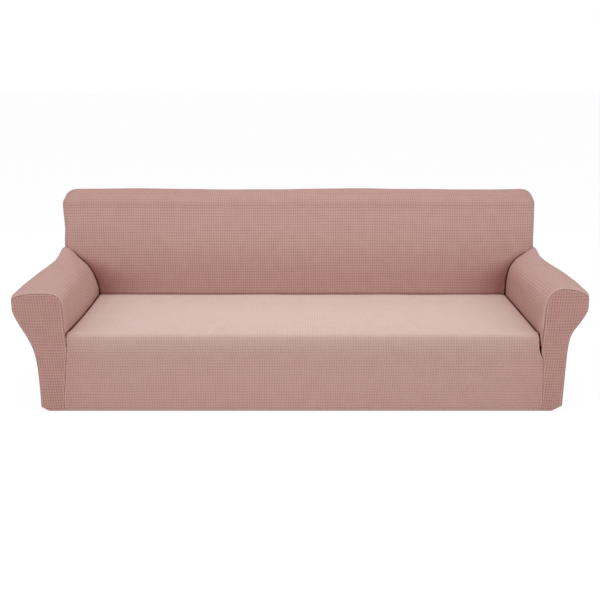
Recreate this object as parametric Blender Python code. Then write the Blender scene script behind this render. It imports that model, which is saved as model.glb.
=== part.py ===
"""Fitted stretch slipcover for a long sofa with rolled arms: hollow, in the shape it has when it is on.

The cover is seven sewn panels of one knitted cloth. Each panel is a grid of points on the outer face of the
cloth, worked out from the sizes below, and a Solidify modifier gives it its thickness inwards. Lengths are in
metres. X runs across the sofa, Z is up, and depth is measured from the cover's front plane to its rear.
"""

import bmesh
import bpy
import numpy as np

# Driving dimensions
DEPTH = 0.860
SEAT_HEIGHT = 0.410
SEAT_DEPTH = 0.588
BACK_TOP = 0.934
CLOTH = 0.0025
SEAM_GAP = 0.0004

# Tucks pushed into the crevices round the seat
TUCK_FOOT = 0.345
DECK_ROLL = 0.028
DECK_TUCK = 0.030

# Seat deck and skirt. At the sides the tuck shrinks from its full size on the deck to a share of it on the
# skirt, over a stretch behind the front edge. The deck is crowned up to a depth a little short of its rear
# tuck.
FRONT_RADIUS = 0.045
SKIRT_ROLL_SHARE = 0.25
SHRINK_REACH = 0.200
DECK_CROWN = 0.008
DECK_CROWN_REACH = 0.560
DECK_DEPTHS = (0.46, 0.36, 0.25, 0.15, 0.09)
SKIRT_HEIGHTS = (0.345, 0.31, 0.28, 0.24, 0.20, 0.15, 0.10, 0.05, 0.0)

# Inside back: how far back its face lies at the seat and at the top, how its middle swells between two
# heights, how its foot rolls back into the tuck, and how it rounds over its edges
FACE_DEPTH_LOW = 0.563
FACE_DEPTH_TOP = 0.664
FACE_CROWN = 0.012
SWELL_FOOT = 0.380
SWELL_TOP = 0.940
BACK_ROLL_START = 0.385
BACK_ROLL_END = 0.440
BACK_HALF = {"left": 1.296, "right": 1.285}
CORNER_RADIUS = 0.056
CORNER_POWER = 3.0
EDGE_FILLET = 0.044
TOP_CROWN = 0.020
END_CROWN = 0.006
END_CROWN_RISE = 0.100
CROWN_SPAN = 0.92
TOP_WAVE = 0.003
TOP_WAVE_TURNS = 5.0
TOP_WAVE_START = 0.800
TOP_WAVE_FULL = 0.920

# Hem: turned under all round but at the corners, where the elastic draws it up
HEM_TURN = 0.018
HEM_LIFT = {"left": 0.020, "right": 0.026}
HEM_LIFT_REACH = {"left": 0.032, "right": 0.045}
HEM_LIFT_TOP = 0.120

# Arms: the front edge rounds out over a short way, the roll swells half way along its outer shoulder, and the
# web rises close to the back. The wrap's ribs lie at shares of the rounding behind the front seam, and then
# at these depths.
ARM_ROUNDING = 0.030
ROUNDING_SHARES = (0.0, 0.25, 0.9)
ARM_DEPTHS = (0.14, 0.26, 0.38, 0.44, 0.50)
ARM_FRONT_CROWN = 0.008
FRONT_LIP = 0.012
ROLL_SWELL = {"left": 0.006, "right": 0.011}
SWELL_OUT_START = 1.200
SWELL_OUT_FULL = 1.280
SWELL_UP_START = 0.480
SWELL_UP_FULL = 0.560
WEB_START = 0.440
WEB_FULL = 0.605
ARM_TUCK_START = 0.560
ARM_TUCK_END = 0.622
ARM_CORNER_END = 0.665
REAR_RIBS = 4

# Section of each arm, from the foot of its inside wall over the roll and down to the hem. The columns are:
# distance out from the middle and height at the front, the same at the back, how far the cloth is stretched
# up beside the back of the sofa, and how far the front seam is set in.
SECTION_COLUMNS = ("front_out", "front_up", "back_out", "back_up", "web", "set_in")
ARM_SECTIONS = {
    "left": (
        (1.1120, 0.345, 1.1120, 0.345, 0.000, 0.000),
        (1.1120, 0.390, 1.1120, 0.390, 0.000, 0.001),
        (1.1120, 0.440, 1.1120, 0.440, 0.000, 0.003),
        (1.1117, 0.462, 1.1125, 0.460, 0.000, 0.004),
        (1.1090, 0.500, 1.1190, 0.493, 0.000, 0.004),
        (1.1080, 0.548, 1.1300, 0.530, 0.000, 0.005),
        (1.1140, 0.587, 1.1460, 0.566, 0.000, 0.006),
        (1.1380, 0.612, 1.1680, 0.594, 0.002, 0.007),
        (1.1800, 0.622, 1.1930, 0.610, 0.008, 0.009),
        (1.2250, 0.623, 1.2260, 0.617, 0.030, 0.010),
        (1.2640, 0.622, 1.2620, 0.617, 0.046, 0.011),
        (1.2960, 0.618, 1.2960, 0.613, 0.052, 0.013),
        (1.3260, 0.611, 1.3180, 0.608, 0.013, 0.015),
        (1.3485, 0.595, 1.3390, 0.595, 0.003, 0.014),
        (1.3520, 0.560, 1.3510, 0.560, 0.000, 0.008),
        (1.3500, 0.520, 1.3510, 0.522, 0.000, 0.005),
        (1.3320, 0.466, 1.3340, 0.468, 0.000, 0.005),
        (1.3020, 0.400, 1.3040, 0.402, 0.000, 0.005),
        (1.2800, 0.335, 1.2820, 0.335, 0.000, 0.005),
        (1.2710, 0.255, 1.2740, 0.255, 0.000, 0.005),
        (1.2730, 0.140, 1.2750, 0.140, 0.000, 0.005),
        (1.2800, 0.000, 1.2800, 0.000, 0.000, 0.005),
    ),
    "right": (
        (1.1360, 0.345, 1.1360, 0.345, 0.000, 0.018),
        (1.1360, 0.390, 1.1360, 0.390, 0.000, 0.018),
        (1.1360, 0.440, 1.1360, 0.440, 0.000, 0.018),
        (1.1362, 0.462, 1.1363, 0.460, 0.000, 0.017),
        (1.1370, 0.505, 1.1390, 0.493, 0.000, 0.015),
        (1.1390, 0.550, 1.1440, 0.530, 0.000, 0.014),
        (1.1480, 0.592, 1.1550, 0.566, 0.000, 0.012),
        (1.1720, 0.626, 1.1740, 0.594, 0.001, 0.010),
        (1.2050, 0.643, 1.1980, 0.611, 0.006, 0.009),
        (1.2420, 0.645, 1.2300, 0.618, 0.020, 0.010),
        (1.2770, 0.642, 1.2590, 0.618, 0.040, 0.012),
        (1.3040, 0.634, 1.2850, 0.614, 0.052, 0.014),
        (1.3320, 0.622, 1.3110, 0.609, 0.014, 0.015),
        (1.3490, 0.603, 1.3380, 0.598, 0.003, 0.014),
        (1.3520, 0.568, 1.3520, 0.562, 0.000, 0.009),
        (1.3500, 0.526, 1.3510, 0.525, 0.000, 0.005),
        (1.3240, 0.468, 1.3260, 0.470, 0.000, 0.005),
        (1.2970, 0.422, 1.3020, 0.422, 0.000, 0.005),
        (1.2860, 0.380, 1.2900, 0.380, 0.000, 0.005),
        (1.2840, 0.300, 1.2860, 0.300, 0.000, 0.005),
        (1.2900, 0.160, 1.2900, 0.160, 0.000, 0.005),
        (1.2960, 0.000, 1.2960, 0.000, 0.000, 0.005),
    ),
}

# Seam between the skirt and each arm front, from the hem up: height, the skirt's edge and the arm front's
# edge. On the right the two stand apart below the arm's wall, where the tuck has pulled open.
SEAM_COLUMNS = ("up", "skirt_out", "arm_out")
FRONT_SEAMS = {
    "left": (
        (0.000, 1.1660, 1.1660),
        (0.100, 1.1520, 1.1520),
        (0.200, 1.1360, 1.1360),
        (0.300, 1.1190, 1.1190),
        (0.345, 1.1120, 1.1120),
    ),
    "right": (
        (0.000, 1.1950, 1.1950),
        (0.100, 1.1880, 1.1880),
        (0.200, 1.1770, 1.1770),
        (0.280, 1.1610, 1.1640),
        (0.345, 1.1360, 1.1540),
    ),
}

# How much wider each end of the back stands than at its foot, from the foot up: height and extra width
END_COLUMNS = ("up", "wider")
BACK_ENDS = {
    "left": ((0.690, 0.000), (0.760, -0.005), (0.820, -0.003), (0.900, 0.001)),
    "right": ((0.690, 0.000), (0.760, -0.002), (0.820, -0.003), (0.900, -0.005)),
}

OUTWARD = {"left": -1.0, "right": 1.0}
CLOTH_COLOUR = (0.50, 0.29, 0.26)

# Rows of an arm's section where columns of the inside back end on it, the last row that lies inside the
# back's end, and even steps from there to the hem
CREASE_ROWS = (2.0, 4.0, 5.0, 6.0, 7.0, 8.0)
CREASE_LIMIT = 13.0
LAST_ROW = len(ARM_SECTIONS["left"]) - 1
OUTER_STEPS = 15

# Points of an arm's front outline up to its inner shoulder, and from the back's end to its outer shoulder
TOP_SHOULDER = 4
OUTER_SHOULDER = 3

# Steps of the way over the back's edge, round the fillet and then on to the rear, of the rolls, and of the
# rest of the inside back and the seat
FILLET_STEPS = 4
END_STEPS = 3
ROLL_STEPS = 3
TUCK_ROWS = 5
FACE_ROWS = 6
MIDDLE_COLUMNS = 11

# Columns of the outside back, as shares of its width, with one close to each corner for the drawn-up hem
REAR_COLUMNS = (0.0, 0.0175, 0.1, 0.2, 0.3, 0.4, 0.5, 0.6, 0.7, 0.8, 0.9, 0.9825, 1.0)


def smooth_step(value):
    """Return a soft rise from 0 to 1 as value goes from 0 to 1."""
    value = np.clip(value, 0.0, 1.0)
    return value * value * (3.0 - 2.0 * value)


def spline(table, stations):
    """Read a table at fractional row numbers, on a Catmull-Rom curve through its rows."""
    rows = np.asarray(table, dtype=float)
    padded = np.vstack([2.0 * rows[0] - rows[1], rows, 2.0 * rows[-1] - rows[-2]])
    low = np.clip(np.floor(stations).astype(int), 0, len(rows) - 2)
    share = (stations - low)[:, None]
    before, start, end, after = (padded[low + step] for step in range(4))
    bend = 2.0 * before - 5.0 * start + 4.0 * end - after
    twist = 3.0 * (start - end) + after - before
    return start + 0.5 * share * (end - before + share * (bend + share * twist))


def column(rows, names, name):
    """Return one named column of rows."""
    return np.asarray(rows, dtype=float)[:, names.index(name)]


def clear_scene():
    """Remove every object of the startup scene."""
    for item in list(bpy.data.objects):
        bpy.data.objects.remove(item)


def cloth_material(name, shade):
    """Return the knitted cloth's material, with its colour scaled by shade."""
    material = bpy.data.materials.new(name)
    material.use_nodes = True
    surface = material.node_tree.nodes["Principled BSDF"]
    surface.inputs["Base Color"].default_value = [shade * part for part in CLOTH_COLOUR] + [1.0]
    surface.inputs["Roughness"].default_value = 0.9
    surface.inputs["Metallic"].default_value = 0.0
    return material


def make_sheet(name, grid, keep, shade, flip):
    """Make one panel of cloth from a grid of (across, depth, up) points on its outer face.

    Cells that keep turns off are left out, and points that meet, as at the foot of a tuck, are joined.
    """
    rows, columns = grid.shape[:2]
    points = grid.reshape(-1, 3) - [0.0, DEPTH / 2.0, 0.0]
    index = np.arange(rows * columns).reshape(rows, columns)
    corners = [index[:-1, :-1], index[:-1, 1:], index[1:, 1:], index[1:, :-1]]
    faces = np.stack(corners[::-1] if flip else corners, axis=-1)[keep]
    mesh = bpy.data.meshes.new(name)
    mesh.from_pydata(points.tolist(), [], faces.tolist())
    cells = bmesh.new()
    cells.from_mesh(mesh)
    bmesh.ops.remove_doubles(cells, verts=cells.verts, dist=0.00002)
    loose = [point for point in cells.verts if not point.link_faces]
    bmesh.ops.delete(cells, geom=loose, context="VERTS")
    cells.to_mesh(mesh)
    cells.free()
    mesh.shade_smooth()
    mesh.materials.append(cloth_material(name + "_cloth", shade))
    panel = bpy.data.objects.new(name, mesh)
    bpy.context.scene.collection.objects.link(panel)
    thickness = panel.modifiers.new("cloth", "SOLIDIFY")
    thickness.thickness = CLOTH
    thickness.offset = -1.0


def all_cells(grid):
    """Return a mask that keeps every cell of a grid."""
    return np.ones((grid.shape[0] - 1, grid.shape[1] - 1), dtype=bool)


def seam_out(side, up, edge):
    """Return how far out the front seam stands, for the skirt's edge or the arm front's edge."""
    rows = FRONT_SEAMS[side]
    return np.interp(up, column(rows, SEAM_COLUMNS, "up"), column(rows, SEAM_COLUMNS, edge))


def hem_lift(side, distance):
    """Return how far the hem is drawn up at this distance from a corner of the cover."""
    return HEM_LIFT[side] * np.clip(1.0 - distance / HEM_LIFT_REACH[side], 0.0, 1.0)


def face_depth(up):
    """Return the depth of the inside back at a height: it leans back by about 11 degrees."""
    share = (np.minimum(up, BACK_TOP) - SEAT_HEIGHT) / (BACK_TOP - SEAT_HEIGHT)
    return FACE_DEPTH_LOW + (FACE_DEPTH_TOP - FACE_DEPTH_LOW) * share


def section_normals(out, up):
    """Return the outward directions across a section, each point's way turned a quarter."""
    along_out = np.gradient(out, axis=-1)
    along_up = np.gradient(up, axis=-1)
    length = np.hypot(along_out, along_up)
    return -along_up / length, along_out / length


def arm_points(side, stations, depth):
    """Return distance out and height of an arm's wrap, for stations round its section at each depth.

    The section changes evenly from its front shape to its back shape, and half way its outer shoulder swells.
    Close to the back of the sofa the web is added, and at the very front the section is drawn in against its
    normals, as a quarter round.
    """
    rows = spline(ARM_SECTIONS[side], stations)
    part = {name: column(rows, SECTION_COLUMNS, name) for name in SECTION_COLUMNS}
    far = np.clip(depth / ARM_TUCK_START, 0.0, 1.0)[:, None]
    web = smooth_step((depth - WEB_START) / (WEB_FULL - WEB_START))[:, None]
    out = part["front_out"] * (1.0 - far) + part["back_out"] * far
    up = part["front_up"] * (1.0 - far) + part["back_up"] * far + part["web"] * web
    normal_out, normal_up = section_normals(out, up)
    shoulder = smooth_step((out - SWELL_OUT_START) / (SWELL_OUT_FULL - SWELL_OUT_START))
    shoulder = shoulder * smooth_step((up - SWELL_UP_START) / (SWELL_UP_FULL - SWELL_UP_START))
    short = np.clip(1.0 - depth / ARM_ROUNDING, 0.0, 1.0)[:, None]
    drawn = part["set_in"] * (1.0 - np.sqrt(1.0 - short * short))
    moved = ROLL_SWELL[side] * np.sin(np.pi * far) * shoulder - drawn
    out = out + moved * normal_out
    up = up + moved * normal_up
    lift = hem_lift(side, depth) + hem_lift(side, DEPTH - depth)
    return out, up + lift[:, None] * np.clip(1.0 - up / HEM_LIFT_TOP, 0.0, 1.0)


def rim_profile():
    """Return the way over the back's edge: how far out and back it goes, and its share of the rear stretch."""
    flat = CORNER_RADIUS - EDGE_FILLET
    angles = np.linspace(0.0, np.pi / 2.0, FILLET_STEPS + 1)
    rear = np.linspace(0.0, 1.0, END_STEPS + 1)[1:]
    out = np.concatenate([[0.0], flat + EDGE_FILLET * np.sin(angles), np.full(END_STEPS, CORNER_RADIUS)])
    back = np.concatenate([[0.0], EDGE_FILLET * (1.0 - np.cos(angles)), np.full(END_STEPS, EDGE_FILLET)])
    share = np.concatenate([np.zeros(FILLET_STEPS + 2), rear])
    return out, back, share


def crease_stations(side):
    """Return the stations of an arm's section where columns of the inside back end on it, and those lanes.

    Beside the arm's wall and roll the lanes are at rows of the table. Round the back's own edge they follow
    its profile.
    """
    fine = np.linspace(CREASE_ROWS[-1], CREASE_LIMIT, 501)
    reach = column(spline(ARM_SECTIONS[side], fine), SECTION_COLUMNS, "back_out")
    profile, _, _ = rim_profile()
    rim_lanes = BACK_HALF[side] - CORNER_RADIUS + profile[:FILLET_STEPS + 2]
    return np.concatenate([CREASE_ROWS, np.interp(rim_lanes, reach, fine)]), rim_lanes


def crease(side):
    """Return lanes and foot heights of the inside back's columns beside an arm, a seam's gap off its wrap."""
    stations, rim_lanes = crease_stations(side)
    out, up = arm_points(side, stations, np.array([ARM_TUCK_END]))
    normal_out, normal_up = section_normals(out[0], up[0])
    lanes = out[0] + SEAM_GAP * normal_out
    lanes[len(CREASE_ROWS):] = rim_lanes
    lanes[0] = out[0, 0] - SEAM_GAP
    feet = up[0] + 2.0 * SEAM_GAP * np.maximum(normal_up, 0.5)
    feet[-1] = feet.max()
    return lanes, feet


def arm_stations(side):
    """Return the stations of an arm's section, and how many of them lie inside the end of the back."""
    shared, _ = crease_stations(side)
    inner = np.concatenate([[0.0], shared])
    outer = np.linspace(inner[-1], LAST_ROW, OUTER_STEPS + 1)[1:]
    return np.concatenate([inner, outer]), len(inner)


def make_arm(side):
    """Make the wrap of one arm.

    Its inner columns stop in a tuck behind the face of the back, those under the back's rounded edge a little
    further on, and the outer ones run to the rear. The hem is turned under but for the corners.
    """
    stations, inside = arm_stations(side)
    front, rear = CLOTH + SEAM_GAP, DEPTH - CLOTH - SEAM_GAP
    depth = np.concatenate([front + ARM_ROUNDING * np.array(ROUNDING_SHARES), ARM_DEPTHS, [ARM_TUCK_START]])
    tuck_row = len(depth)
    depth = np.concatenate([depth, [ARM_TUCK_END], np.linspace(ARM_CORNER_END, rear, REAR_RIBS)])
    out, up = arm_points(side, stations, depth)
    out = np.hstack([out, out[:, -1:] - HEM_TURN])
    up = np.hstack([up, up[:, -1:]])
    back = np.repeat(depth[:, None], out.shape[1], axis=1)
    grid = np.stack([OUTWARD[side] * out, back, up], axis=-1)
    keep = all_cells(grid)
    keep[tuck_row, :inside - FILLET_STEPS - 1] = False
    keep[tuck_row + 1:, :inside - 2] = False
    reach = HEM_LIFT_REACH[side]
    keep[:, -1] = (depth[:-1] >= reach) & (depth[1:] <= DEPTH - reach)
    make_sheet("arm_" + side, grid, keep, 1.0, flip=side == "left")


def blend_edges(bottom, top, first, last, share):
    """Fill a four-sided patch from its edges (a Coons patch); share is how far over each column lies."""
    over = share[None, :, None]
    rise = np.linspace(0.0, 1.0, len(first))[:, None, None]
    between = first[:, None] * (1.0 - over) + last[:, None] * over
    low = bottom[None] - bottom[0] * (1.0 - over) - bottom[-1] * over
    high = top[None] - top[0] * (1.0 - over) - top[-1] * over
    return between + low * (1.0 - rise) + high * rise


def make_arm_front(side):
    """Make the bulb-shaped front of one arm: its edge is the arm's front section, closed by seam and hem.

    The lower inside edge has a lip along the skirt's seam, and the hem is turned under up to the outer end.
    """
    stations, inside = arm_stations(side)
    out, up = arm_points(side, stations, np.array([0.0]))
    section = np.stack([out[0], up[0]], axis=-1)
    outer_end = inside + OUTER_SHOULDER
    seam_count = len(section) - outer_end - TOP_SHOULDER
    seam_up = np.linspace(0.0, TUCK_FOOT, seam_count, endpoint=False)
    seam = np.stack([seam_out(side, seam_up, "arm_out"), seam_up], axis=-1)
    first = np.vstack([seam, section[:TOP_SHOULDER]])
    first[:, 0] += SEAM_GAP * (first[:, 1] <= TUCK_FOOT)
    top = section[TOP_SHOULDER - 1:outer_end + 1]
    top[0] = first[-1]
    last = section[outer_end:][::-1]
    hem_out = np.linspace(first[0, 0], last[0, 0], len(top))
    bottom = np.stack([hem_out, hem_lift(side, last[0, 0] - hem_out)], axis=-1)
    share = np.linspace(0.0, 1.0, len(top))
    patch = blend_edges(bottom, top, first, last, share)
    rise = np.linspace(0.0, 1.0, len(patch))[:, None]
    depth = -ARM_FRONT_CROWN * np.sin(np.pi * share) * np.sin(np.pi * rise)
    grid = np.stack([OUTWARD[side] * patch[..., 0], depth, patch[..., 1]], axis=-1)
    lip = grid[:, :1] + [0.0, FRONT_LIP, 0.0]
    grid = np.hstack([lip, grid])
    turn = grid[:1] + [0.0, HEM_TURN, 0.0]
    grid = np.vstack([turn, grid])
    keep = all_cells(grid)
    keep[:, 0] = grid[1:, 0, 2] < TUCK_FOOT
    keep[0] = np.arange(keep.shape[1]) > 1
    keep[0, 1:] &= hem_out[1:] < last[0, 0] - HEM_LIFT_REACH[side]
    make_sheet("arm_front_" + side, grid, keep, 0.95, flip=side == "left")


def quarter_roll(radius, steps):
    """Return a quarter round: how far in from its edge and down from its top each point lies, edge first."""
    turns = np.linspace(0.0, np.pi / 2.0, steps + 1)
    return radius * (1.0 - np.cos(turns)), radius * (1.0 - np.sin(turns))


def seat_path():
    """Return the seat's way from its rear tuck over the deck and down the skirt: depth, height and facing.

    Facing is 0 on the deck, where the cloth faces up, and a right angle on the skirt, where it faces forward.
    """
    rear_in, rear_down = quarter_roll(DECK_ROLL, ROLL_STEPS)
    front_in, front_down = quarter_roll(FRONT_RADIUS, ROLL_STEPS + 1)
    skirt_depth = np.append(np.zeros(len(SKIRT_HEIGHTS)), HEM_TURN)
    depth = np.concatenate([[SEAT_DEPTH], SEAT_DEPTH - rear_in, DECK_DEPTHS, front_in[::-1], skirt_depth])
    rear_up = SEAT_HEIGHT - rear_down
    deck_up = np.full(len(DECK_DEPTHS), SEAT_HEIGHT)
    front_up = SEAT_HEIGHT - front_down[::-1]
    up = np.concatenate([[rear_up[0] - DECK_TUCK], rear_up, deck_up, front_up, SKIRT_HEIGHTS, [0.0]])
    behind = np.zeros(1 + len(rear_up) + len(deck_up))
    bend = np.linspace(0.0, np.pi / 2.0, len(front_in))
    facing = np.concatenate([behind, bend, np.full(len(skirt_depth), np.pi / 2.0)])
    return depth, up, facing


def make_seat():
    """Make the seat deck and skirt.

    Each side edge rolls inwards and runs on as a flat tuck beside the arm. The roll and the tuck are full size
    on the deck and small on the skirt.
    """
    depth, up, facing = seat_path()
    roll_in, roll_down = quarter_roll(DECK_ROLL, ROLL_STEPS)
    roll_in = np.append(0.0, roll_in)
    roll_down = np.append(DECK_ROLL + DECK_TUCK, roll_down)
    edge = len(roll_in)
    middle = np.linspace(0.0, 1.0, MIDDLE_COLUMNS + 2)[1:-1]
    near_front = smooth_step(1.0 - depth / SHRINK_REACH)
    size = np.where(facing > 0.0, SKIRT_ROLL_SHARE, 1.0 - (1.0 - SKIRT_ROLL_SHARE) * near_front)[:, None]
    drop = np.hstack([roll_down * size, np.zeros((len(depth), len(middle))), roll_down[::-1] * size])
    level = up[:, None] - drop * np.cos(facing)[:, None]
    level = np.where(facing[:, None] > 0.0, level, np.maximum(level, TUCK_FOOT))
    back = depth[:, None] + drop * np.sin(facing)[:, None]
    left = -(seam_out("left", level[:, :edge], "skirt_out") - SEAM_GAP - roll_in * size)
    right = seam_out("right", level[:, -edge:], "skirt_out") - SEAM_GAP - roll_in[::-1] * size
    between = left[:, -1:] + (right[:, :1] - left[:, -1:]) * middle
    across = np.hstack([left, between, right])
    bow = 1.0 - np.clip(np.abs(across) / ARM_SECTIONS["left"][0][0], 0.0, 1.0) ** 4
    on_deck = (facing == 0.0) & (up == SEAT_HEIGHT)
    swell = np.sin(np.pi * np.clip(depth / DECK_CROWN_REACH, 0.0, 1.0))
    crown = np.where(on_deck, DECK_CROWN * swell, 0.0)
    grid = np.stack([across, back, level + crown[:, None] * bow], axis=-1)
    keep = all_cells(grid)
    keep[0, [0, -1]] = False
    keep[-1, :edge - 1] = False
    keep[-1, 1 - edge:] = False
    make_sheet("seat_front", grid, keep, 1.1, flip=True)


def back_column(lane, rim, side, foot):
    """Work out one column of the inside back, from its foot up over the top to the rear.

    In a corner the larger of the two ways over the edge gives the distance from the corner's centre, and their
    ratio gives the angle round it. The corner is a superellipse, fuller than a circle.
    """
    out, back, share = rim_profile()
    base = BACK_TOP - CORNER_RADIUS
    tucked = foot < BACK_ROLL_START
    roll = np.linspace(BACK_ROLL_START, BACK_ROLL_END, TUCK_ROWS)
    low = np.append(foot, roll) if tucked else np.full(TUCK_ROWS + 1, foot)
    up = np.concatenate([low, low[-1] + (base - low[-1]) * np.linspace(0.0, 1.0, FACE_ROWS + 1)[1:]])
    way = np.append(np.zeros(len(up), int), np.arange(1, len(out)))
    up = np.append(up, np.full(len(out) - 1, base))
    reach = np.maximum(way, rim)
    turn = np.pi / 4.0 * np.minimum(way, rim) / np.maximum(reach, 1)
    angle = np.where(way >= rim, np.pi / 2.0 - turn, turn)
    steep = np.sin(angle) ** 2
    end_crown = END_CROWN * smooth_step((up - foot) / END_CROWN_RISE)
    crown = np.sin(CROWN_SPAN * np.pi * share[reach]) * (TOP_CROWN * steep + end_crown * (1.0 - steep))
    rounded = np.abs(np.cos(angle)) ** CORNER_POWER + np.sin(angle) ** CORNER_POWER
    over = (out[reach] + crown) * rounded ** (-1.0 / CORNER_POWER)
    centre = lane if rim == 0 else OUTWARD[side] * (BACK_HALF[side] - CORNER_RADIUS)
    ends = BACK_ENDS[side]
    wider = np.interp(up, column(ends, END_COLUMNS, "up"), column(ends, END_COLUMNS, "wider"))
    wider = wider * out[rim] / CORNER_RADIUS
    across = centre + OUTWARD[side] * (wider + over * np.cos(angle) * (rim > 0))
    height = up + over * np.sin(angle) * (way > 0)
    bow = 1.0 - np.clip(np.abs(across) / BACK_HALF["right"], 0.0, 1.0) ** 4
    swell = np.sin(np.pi * np.clip((height - SWELL_FOOT) / (SWELL_TOP - SWELL_FOOT), 0.0, 1.0))
    depth = face_depth(height) - FACE_CROWN * bow * swell * (reach == 0)
    if tucked:
        rolled = 1.0 - smooth_step((height - BACK_ROLL_START) / (BACK_ROLL_END - BACK_ROLL_START))
        depth = depth + (SEAT_DEPTH + SEAM_GAP - depth) * rolled
    depth = depth + back[reach]
    depth = depth + (DEPTH - CLOTH - SEAM_GAP - depth) * share[reach]
    near_top = smooth_step((height - TOP_WAVE_START) / (TOP_WAVE_FULL - TOP_WAVE_START))
    height = height + TOP_WAVE * np.sin(TOP_WAVE_TURNS * across) * near_top
    return np.stack([across, depth, height], axis=-1)


def back_grid():
    """Return the inside back's grid, and how many columns at each end lie beside the tuck at the seat."""
    rims = np.append(np.zeros(len(CREASE_ROWS), int), np.arange(FILLET_STEPS + END_STEPS + 2))
    columns = {}
    for side in ("left", "right"):
        lanes, feet = crease(side)
        lanes = np.append(lanes, np.full(END_STEPS, BACK_HALF[side]))
        feet = np.append(feet, np.full(END_STEPS, feet[-1]))
        feet[0] = TUCK_FOOT
        rows = zip(OUTWARD[side] * lanes, rims, feet)
        columns[side] = [back_column(lane, rim, side, foot) for lane, rim, foot in rows]
    start, end = columns["left"][0][0, 0], columns["right"][0][0, 0]
    lanes = np.linspace(start, end, MIDDLE_COLUMNS + 2)[1:-1]
    middle = [back_column(lane, 0, "left", TUCK_FOOT) for lane in lanes]
    grid = np.stack(columns["left"][::-1] + middle + columns["right"], axis=1)
    return grid, len(rims) - 1


def make_inner_back(grid, beside):
    """Make the inside back with its top and ends. Only its middle columns go down into the seat's tuck."""
    keep = all_cells(grid)
    keep[:TUCK_ROWS, :beside] = False
    keep[:TUCK_ROWS, -beside:] = False
    make_sheet("inner_back", grid, keep, 1.0, flip=False)


def make_outer_back(grid):
    """Make the plain rear panel. Its edge follows the rear edges of the arms' wraps and the inside back."""
    rim_count = FILLET_STEPS + END_STEPS + 1
    edges = {}
    for side in ("left", "right"):
        stations, inside = arm_stations(side)
        out, up = arm_points(side, stations, np.array([DEPTH - CLOTH - SEAM_GAP]))
        arm = np.stack([OUTWARD[side] * out[0], up[0]], axis=-1)[:inside - 1:-1]
        facing = grid if side == "left" else grid[:, ::-1]
        end, top = facing[TUCK_ROWS + 1:, 0], facing[-1, 1:rim_count + 1]
        edges[side] = np.vstack([arm, end[:, [0, 2]], top[:, [0, 2]]])
    left, right = edges["left"], edges["right"]
    share = np.array(REAR_COLUMNS)
    hem_out = left[0, 0] + (right[0, 0] - left[0, 0]) * share
    lift = hem_lift("left", hem_out - hem_out[0]) + hem_lift("right", hem_out[-1] - hem_out)
    bottom = np.stack([hem_out, lift], axis=-1)
    bottom[[0, -1]] = left[0], right[0]
    top_line = grid[-1][:, [0, 2]]
    top_out = left[-1, 0] + (right[-1, 0] - left[-1, 0]) * share
    top = np.stack([top_out, np.interp(top_out, top_line[:, 0], top_line[:, 1])], axis=-1)
    patch = blend_edges(bottom, top, left, right, share)
    grid = np.stack([patch[..., 0], np.full(patch.shape[:2], DEPTH), patch[..., 1]], axis=-1)
    grid = np.vstack([grid[:1] - [0.0, HEM_TURN, 0.0], grid])
    keep = all_cells(grid)
    keep[0, [0, 1, -2, -1]] = False
    make_sheet("outer_back", grid, keep, 0.95, flip=True)


def main():
    """Make the seven panels."""
    clear_scene()
    make_seat()
    grid, beside = back_grid()
    make_inner_back(grid, beside)
    make_outer_back(grid)
    for side in ("left", "right"):
        make_arm(side)
        make_arm_front(side)


main()
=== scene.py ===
"""Looks of a fitted stretch slipcover for a long sofa with rolled arms.

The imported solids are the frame. Each of the seven sewn panels is made again here as a fine grid of points on the
outer face of the cloth, with its seams, hems, tucks and soft folds, and gets one waffle knit, whose cells and yarns
run along the cloth. Lengths are in metres. X runs across the sofa and Z is up. In a shape's formulas depth is
measured from the cover's front plane to its rear, and out is the distance from the middle to either side.
"""

import logging
import math
from dataclasses import dataclass
from enum import Enum, IntEnum

import bmesh
import bpy
import numpy as np
from numpy.typing import NDArray
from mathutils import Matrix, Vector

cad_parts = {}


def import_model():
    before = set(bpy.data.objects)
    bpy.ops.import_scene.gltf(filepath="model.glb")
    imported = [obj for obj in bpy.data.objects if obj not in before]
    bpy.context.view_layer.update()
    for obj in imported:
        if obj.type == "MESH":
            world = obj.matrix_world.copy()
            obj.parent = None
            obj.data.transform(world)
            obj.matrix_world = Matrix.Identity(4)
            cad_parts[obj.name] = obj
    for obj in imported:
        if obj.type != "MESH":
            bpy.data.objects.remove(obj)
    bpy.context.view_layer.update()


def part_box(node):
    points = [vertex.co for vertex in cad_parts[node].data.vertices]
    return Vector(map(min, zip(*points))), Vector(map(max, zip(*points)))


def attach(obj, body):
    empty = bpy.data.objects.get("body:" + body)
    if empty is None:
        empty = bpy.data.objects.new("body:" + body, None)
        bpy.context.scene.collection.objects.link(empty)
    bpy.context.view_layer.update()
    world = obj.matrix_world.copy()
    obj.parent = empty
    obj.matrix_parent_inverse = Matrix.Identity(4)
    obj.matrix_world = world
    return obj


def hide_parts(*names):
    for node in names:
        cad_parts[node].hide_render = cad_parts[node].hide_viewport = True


FloatArray = NDArray[np.float64]
BoolArray = NDArray[np.bool_]
Pair = tuple[float, float]
Colour = tuple[float, float, float]
Place = tuple[float, float, float]
NodeLink = bpy.types.NodeSocket | float

log = logging.getLogger("slipcover")

QUARTER_TURN = math.pi / 2.0
TINY = 1.0e-9
# Points closer than this are one point
MEETING = 2.0e-5


class Side(Enum):
    """One end of the sofa, as seen from its front."""

    LEFT = -1.0
    RIGHT = 1.0

    @property
    def word(self) -> str:
        """The side's name as the nodes have it."""
        return self.name.lower()


class Column(IntEnum):
    """Columns of an arm's table: where its section lies at the front and the back, its web and its front seam."""

    FRONT_OUT = 0
    FRONT_UP = 1
    BACK_OUT = 2
    BACK_UP = 3
    WEB = 4
    SET_IN = 5


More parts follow.
